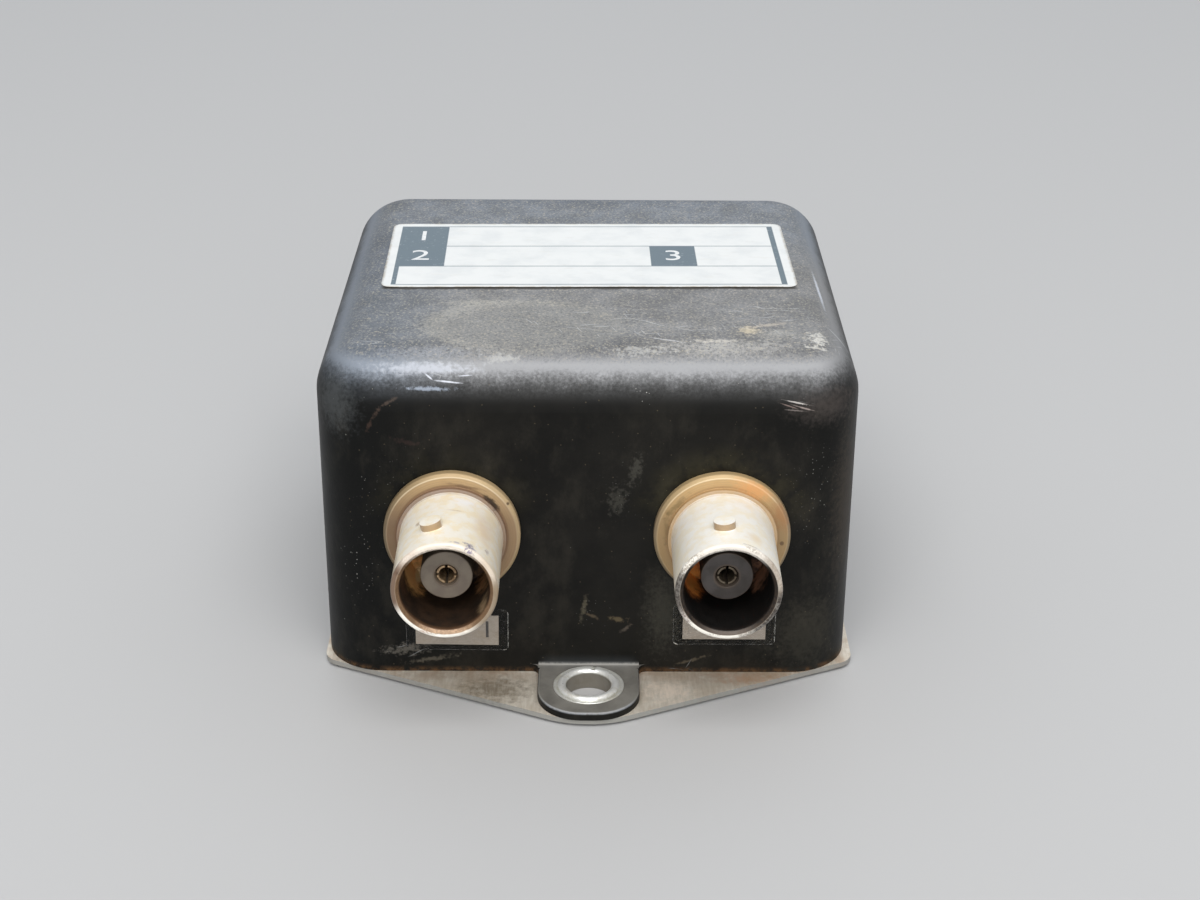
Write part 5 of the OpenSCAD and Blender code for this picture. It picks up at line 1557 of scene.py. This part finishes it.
def build_jacks():
    around = ring_tree()
    for side in SIDES:
        centre = tuple(distance * MM for distance in jack_frame(side))
        silver, insulation = FINISHES[f"{side}_silver"], FINISHES[f"{side}_insulation"]
        gold = FINISHES[f"{side}_contact"]
        shell = mesh_of(f"{side}_plated_shell", shell_shape(side))
        settle(f"{side}_plated_shell", shell, silver, "jack_metal", f"{side}_jack_shell")
        insulator = mesh_of(f"{side}_turned_insulator", insulator_shape(side))
        insulator_slot = "light_insulator" if side == "left" else "dark_insulator"
        settle(f"{side}_turned_insulator", insulator, insulation, insulator_slot, f"{side}_insulator")
        body = mesh_of(f"{side}_contact_body", contact_body_shape(side))
        tine = mesh_of(f"{side}_tine", tine_shape(side))
        tines = around.bake(f"{side}_tines", tine, {"Count": 4, "Centre": centre, "Material": gold})
        contact = joined(f"{side}_slotted_contact", [body, tines])
        settle(f"{side}_slotted_contact", contact, gold, "contact_metal", f"{side}_contact")


def build_eyelets():
    tin = FINISHES["eyelet_metal"]
    for node, facing in (("front_eyelet", 0.0), ("rear_eyelet", 180.0)):
        eyelet = mesh_of(f"{node}_curled", eyelet_shape(node, facing))
        settle(f"{node}_curled", eyelet, tin, "eyelet_metal", node)


def build_papers():
    foil, white_ink, dark_ink = FINISHES["nameplate_foil"], FINISHES["white_ink"], FINISHES["dark_ink"]
    plate = mesh_of("nameplate_sheet", nameplate_shape)
    settle("nameplate_sheet", plate, foil, "nameplate_foil", "nameplate")
    flat = Matrix.Rotation(math.radians(PLATE_TURN), 4, "Z")
    for name, text, size, across, along in (
        ("nameplate_figure_1", "1", 4.2, 3.4, 15.1),
        ("nameplate_figure_2", "2", 4.2, 3.4, 9.1),
        ("nameplate_figure_3", "3", 4.2, 29.4, 9.0),
    ):
        spot = nameplate_spot(across - PLATE_W / 2, along - PLATE_D / 2, FOIL_T + INK_LIFT)
        numeral(name, text, size, Matrix.Translation(spot * MM) @ flat, white_ink, "nameplate_foil")
    upright = Matrix.Rotation(math.radians(90), 4, "X")
    for side, text, aside in (("left", "1", 2.9), ("right", "2", 0.0)):
        film = mesh_of(f"{side}_film_sheet", film_shape(side))
        settle(f"{side}_film_sheet", film, FINISHES[f"{side}_film"], "clear_film", f"{side}_slip_film")
        slip = f"{side}_port_slip"
        spot = Vector((middle(slip).x + aside, low(slip).y - INK_T, middle(slip).z))
        place = Matrix.Translation(spot * MM) @ upright
        numeral(f"{side}_slip_figure", text, 2.6, place, dark_ink, "slip_paper")


# Floor, light and camera

def build_floor():
    mesh = bpy.data.meshes.new("floor")
    reach = 4.0
    corners = [(-reach, -reach, 0), (reach, -reach, 0), (reach, reach, 0), (-reach, reach, 0)]
    mesh.from_pydata(corners, [], [(0, 1, 2, 3)])
    floor = linked("floor", mesh)
    pale = {"Base Color": (0.50, 0.50, 0.505, 1), "Roughness": 0.85}
    mesh.materials.append(finish_of("Pale floor", lambda paint: pale))


def softbox(name, place, target, size, power, colour):
    """A soft square lamp at a place, facing a target, in metres."""
    light = bpy.data.lights.new(name, "AREA")
    light.shape = "RECTANGLE"
    light.size, light.size_y = size
    light.energy = power
    light.color = colour
    lamp = linked(name, light)
    lamp.location = place
    lamp.rotation_euler = (Vector(target) - Vector(place)).to_track_quat("-Z", "Y").to_euler()


def build_light():
    """Even studio light: a surround brightest overhead and behind, and a key, a front and a rear lamp."""
    world = bpy.data.worlds.new("Studio")
    bpy.context.scene.world = world
    world.use_nodes = True
    paint = Paint(world.node_tree)
    _, back, up = paint.parts(paint.put("ShaderNodeTexCoord").outputs["Generated"])
    overhead, behind = paint.fade(up, 0.1, 0.95, 0.30, 0.62), paint.fade(back, -0.1, 0.8, 0.0, 0.12)
    strength = paint.calc("ADD", overhead, behind)
    background = world.node_tree.nodes["Background"].inputs
    paint.feed(background["Color"], (0.94, 0.97, 1.0, 1))
    paint.feed(background["Strength"], strength)
    target = (0, 0, 0.02)
    softbox("key softbox", (0.02, -0.40, 0.70), target, (0.75, 0.5), 4.2, (1.0, 0.985, 0.96))
    softbox("front softbox", (-0.02, -0.95, 0.40), target, (1.0, 0.4), 4.0, (1.0, 0.99, 0.97))
    softbox("rear softbox", (0.10, 1.10, 0.60), target, (1.6, 0.5), 3.4, (0.93, 0.97, 1.0))


def build_camera():
    """The camera of the reference view, placed from its own yaw, downward pitch and roll."""
    yaw, pitch, roll = math.radians(0.29), math.radians(25.23), math.radians(0.38)
    place = Vector((0.10, -196.26, 105.17))
    forward = Vector((math.sin(yaw) * math.cos(pitch), math.cos(yaw) * math.cos(pitch), -math.sin(pitch)))
    right = Vector((math.cos(yaw), -math.sin(yaw), 0))
    down = forward.cross(right)
    across = math.cos(roll) * right - math.sin(roll) * down
    up = -(math.sin(roll) * right + math.cos(roll) * down)
    camera_data = bpy.data.cameras.new("camera")
    camera_data.sensor_width = 36.0
    camera_data.lens = 61.26
    camera_data.clip_start = 0.01
    camera = linked("camera", camera_data)
    turn = Matrix((across, up, -forward)).transposed().to_4x4()
    camera.matrix_world = Matrix.Translation(place * MM) @ turn
    bpy.context.scene.camera = camera
    bpy.context.scene.view_settings.view_transform = "Standard"


dress_nodes()
build_jacks()
build_eyelets()
build_papers()
build_floor()
build_light()
build_camera()
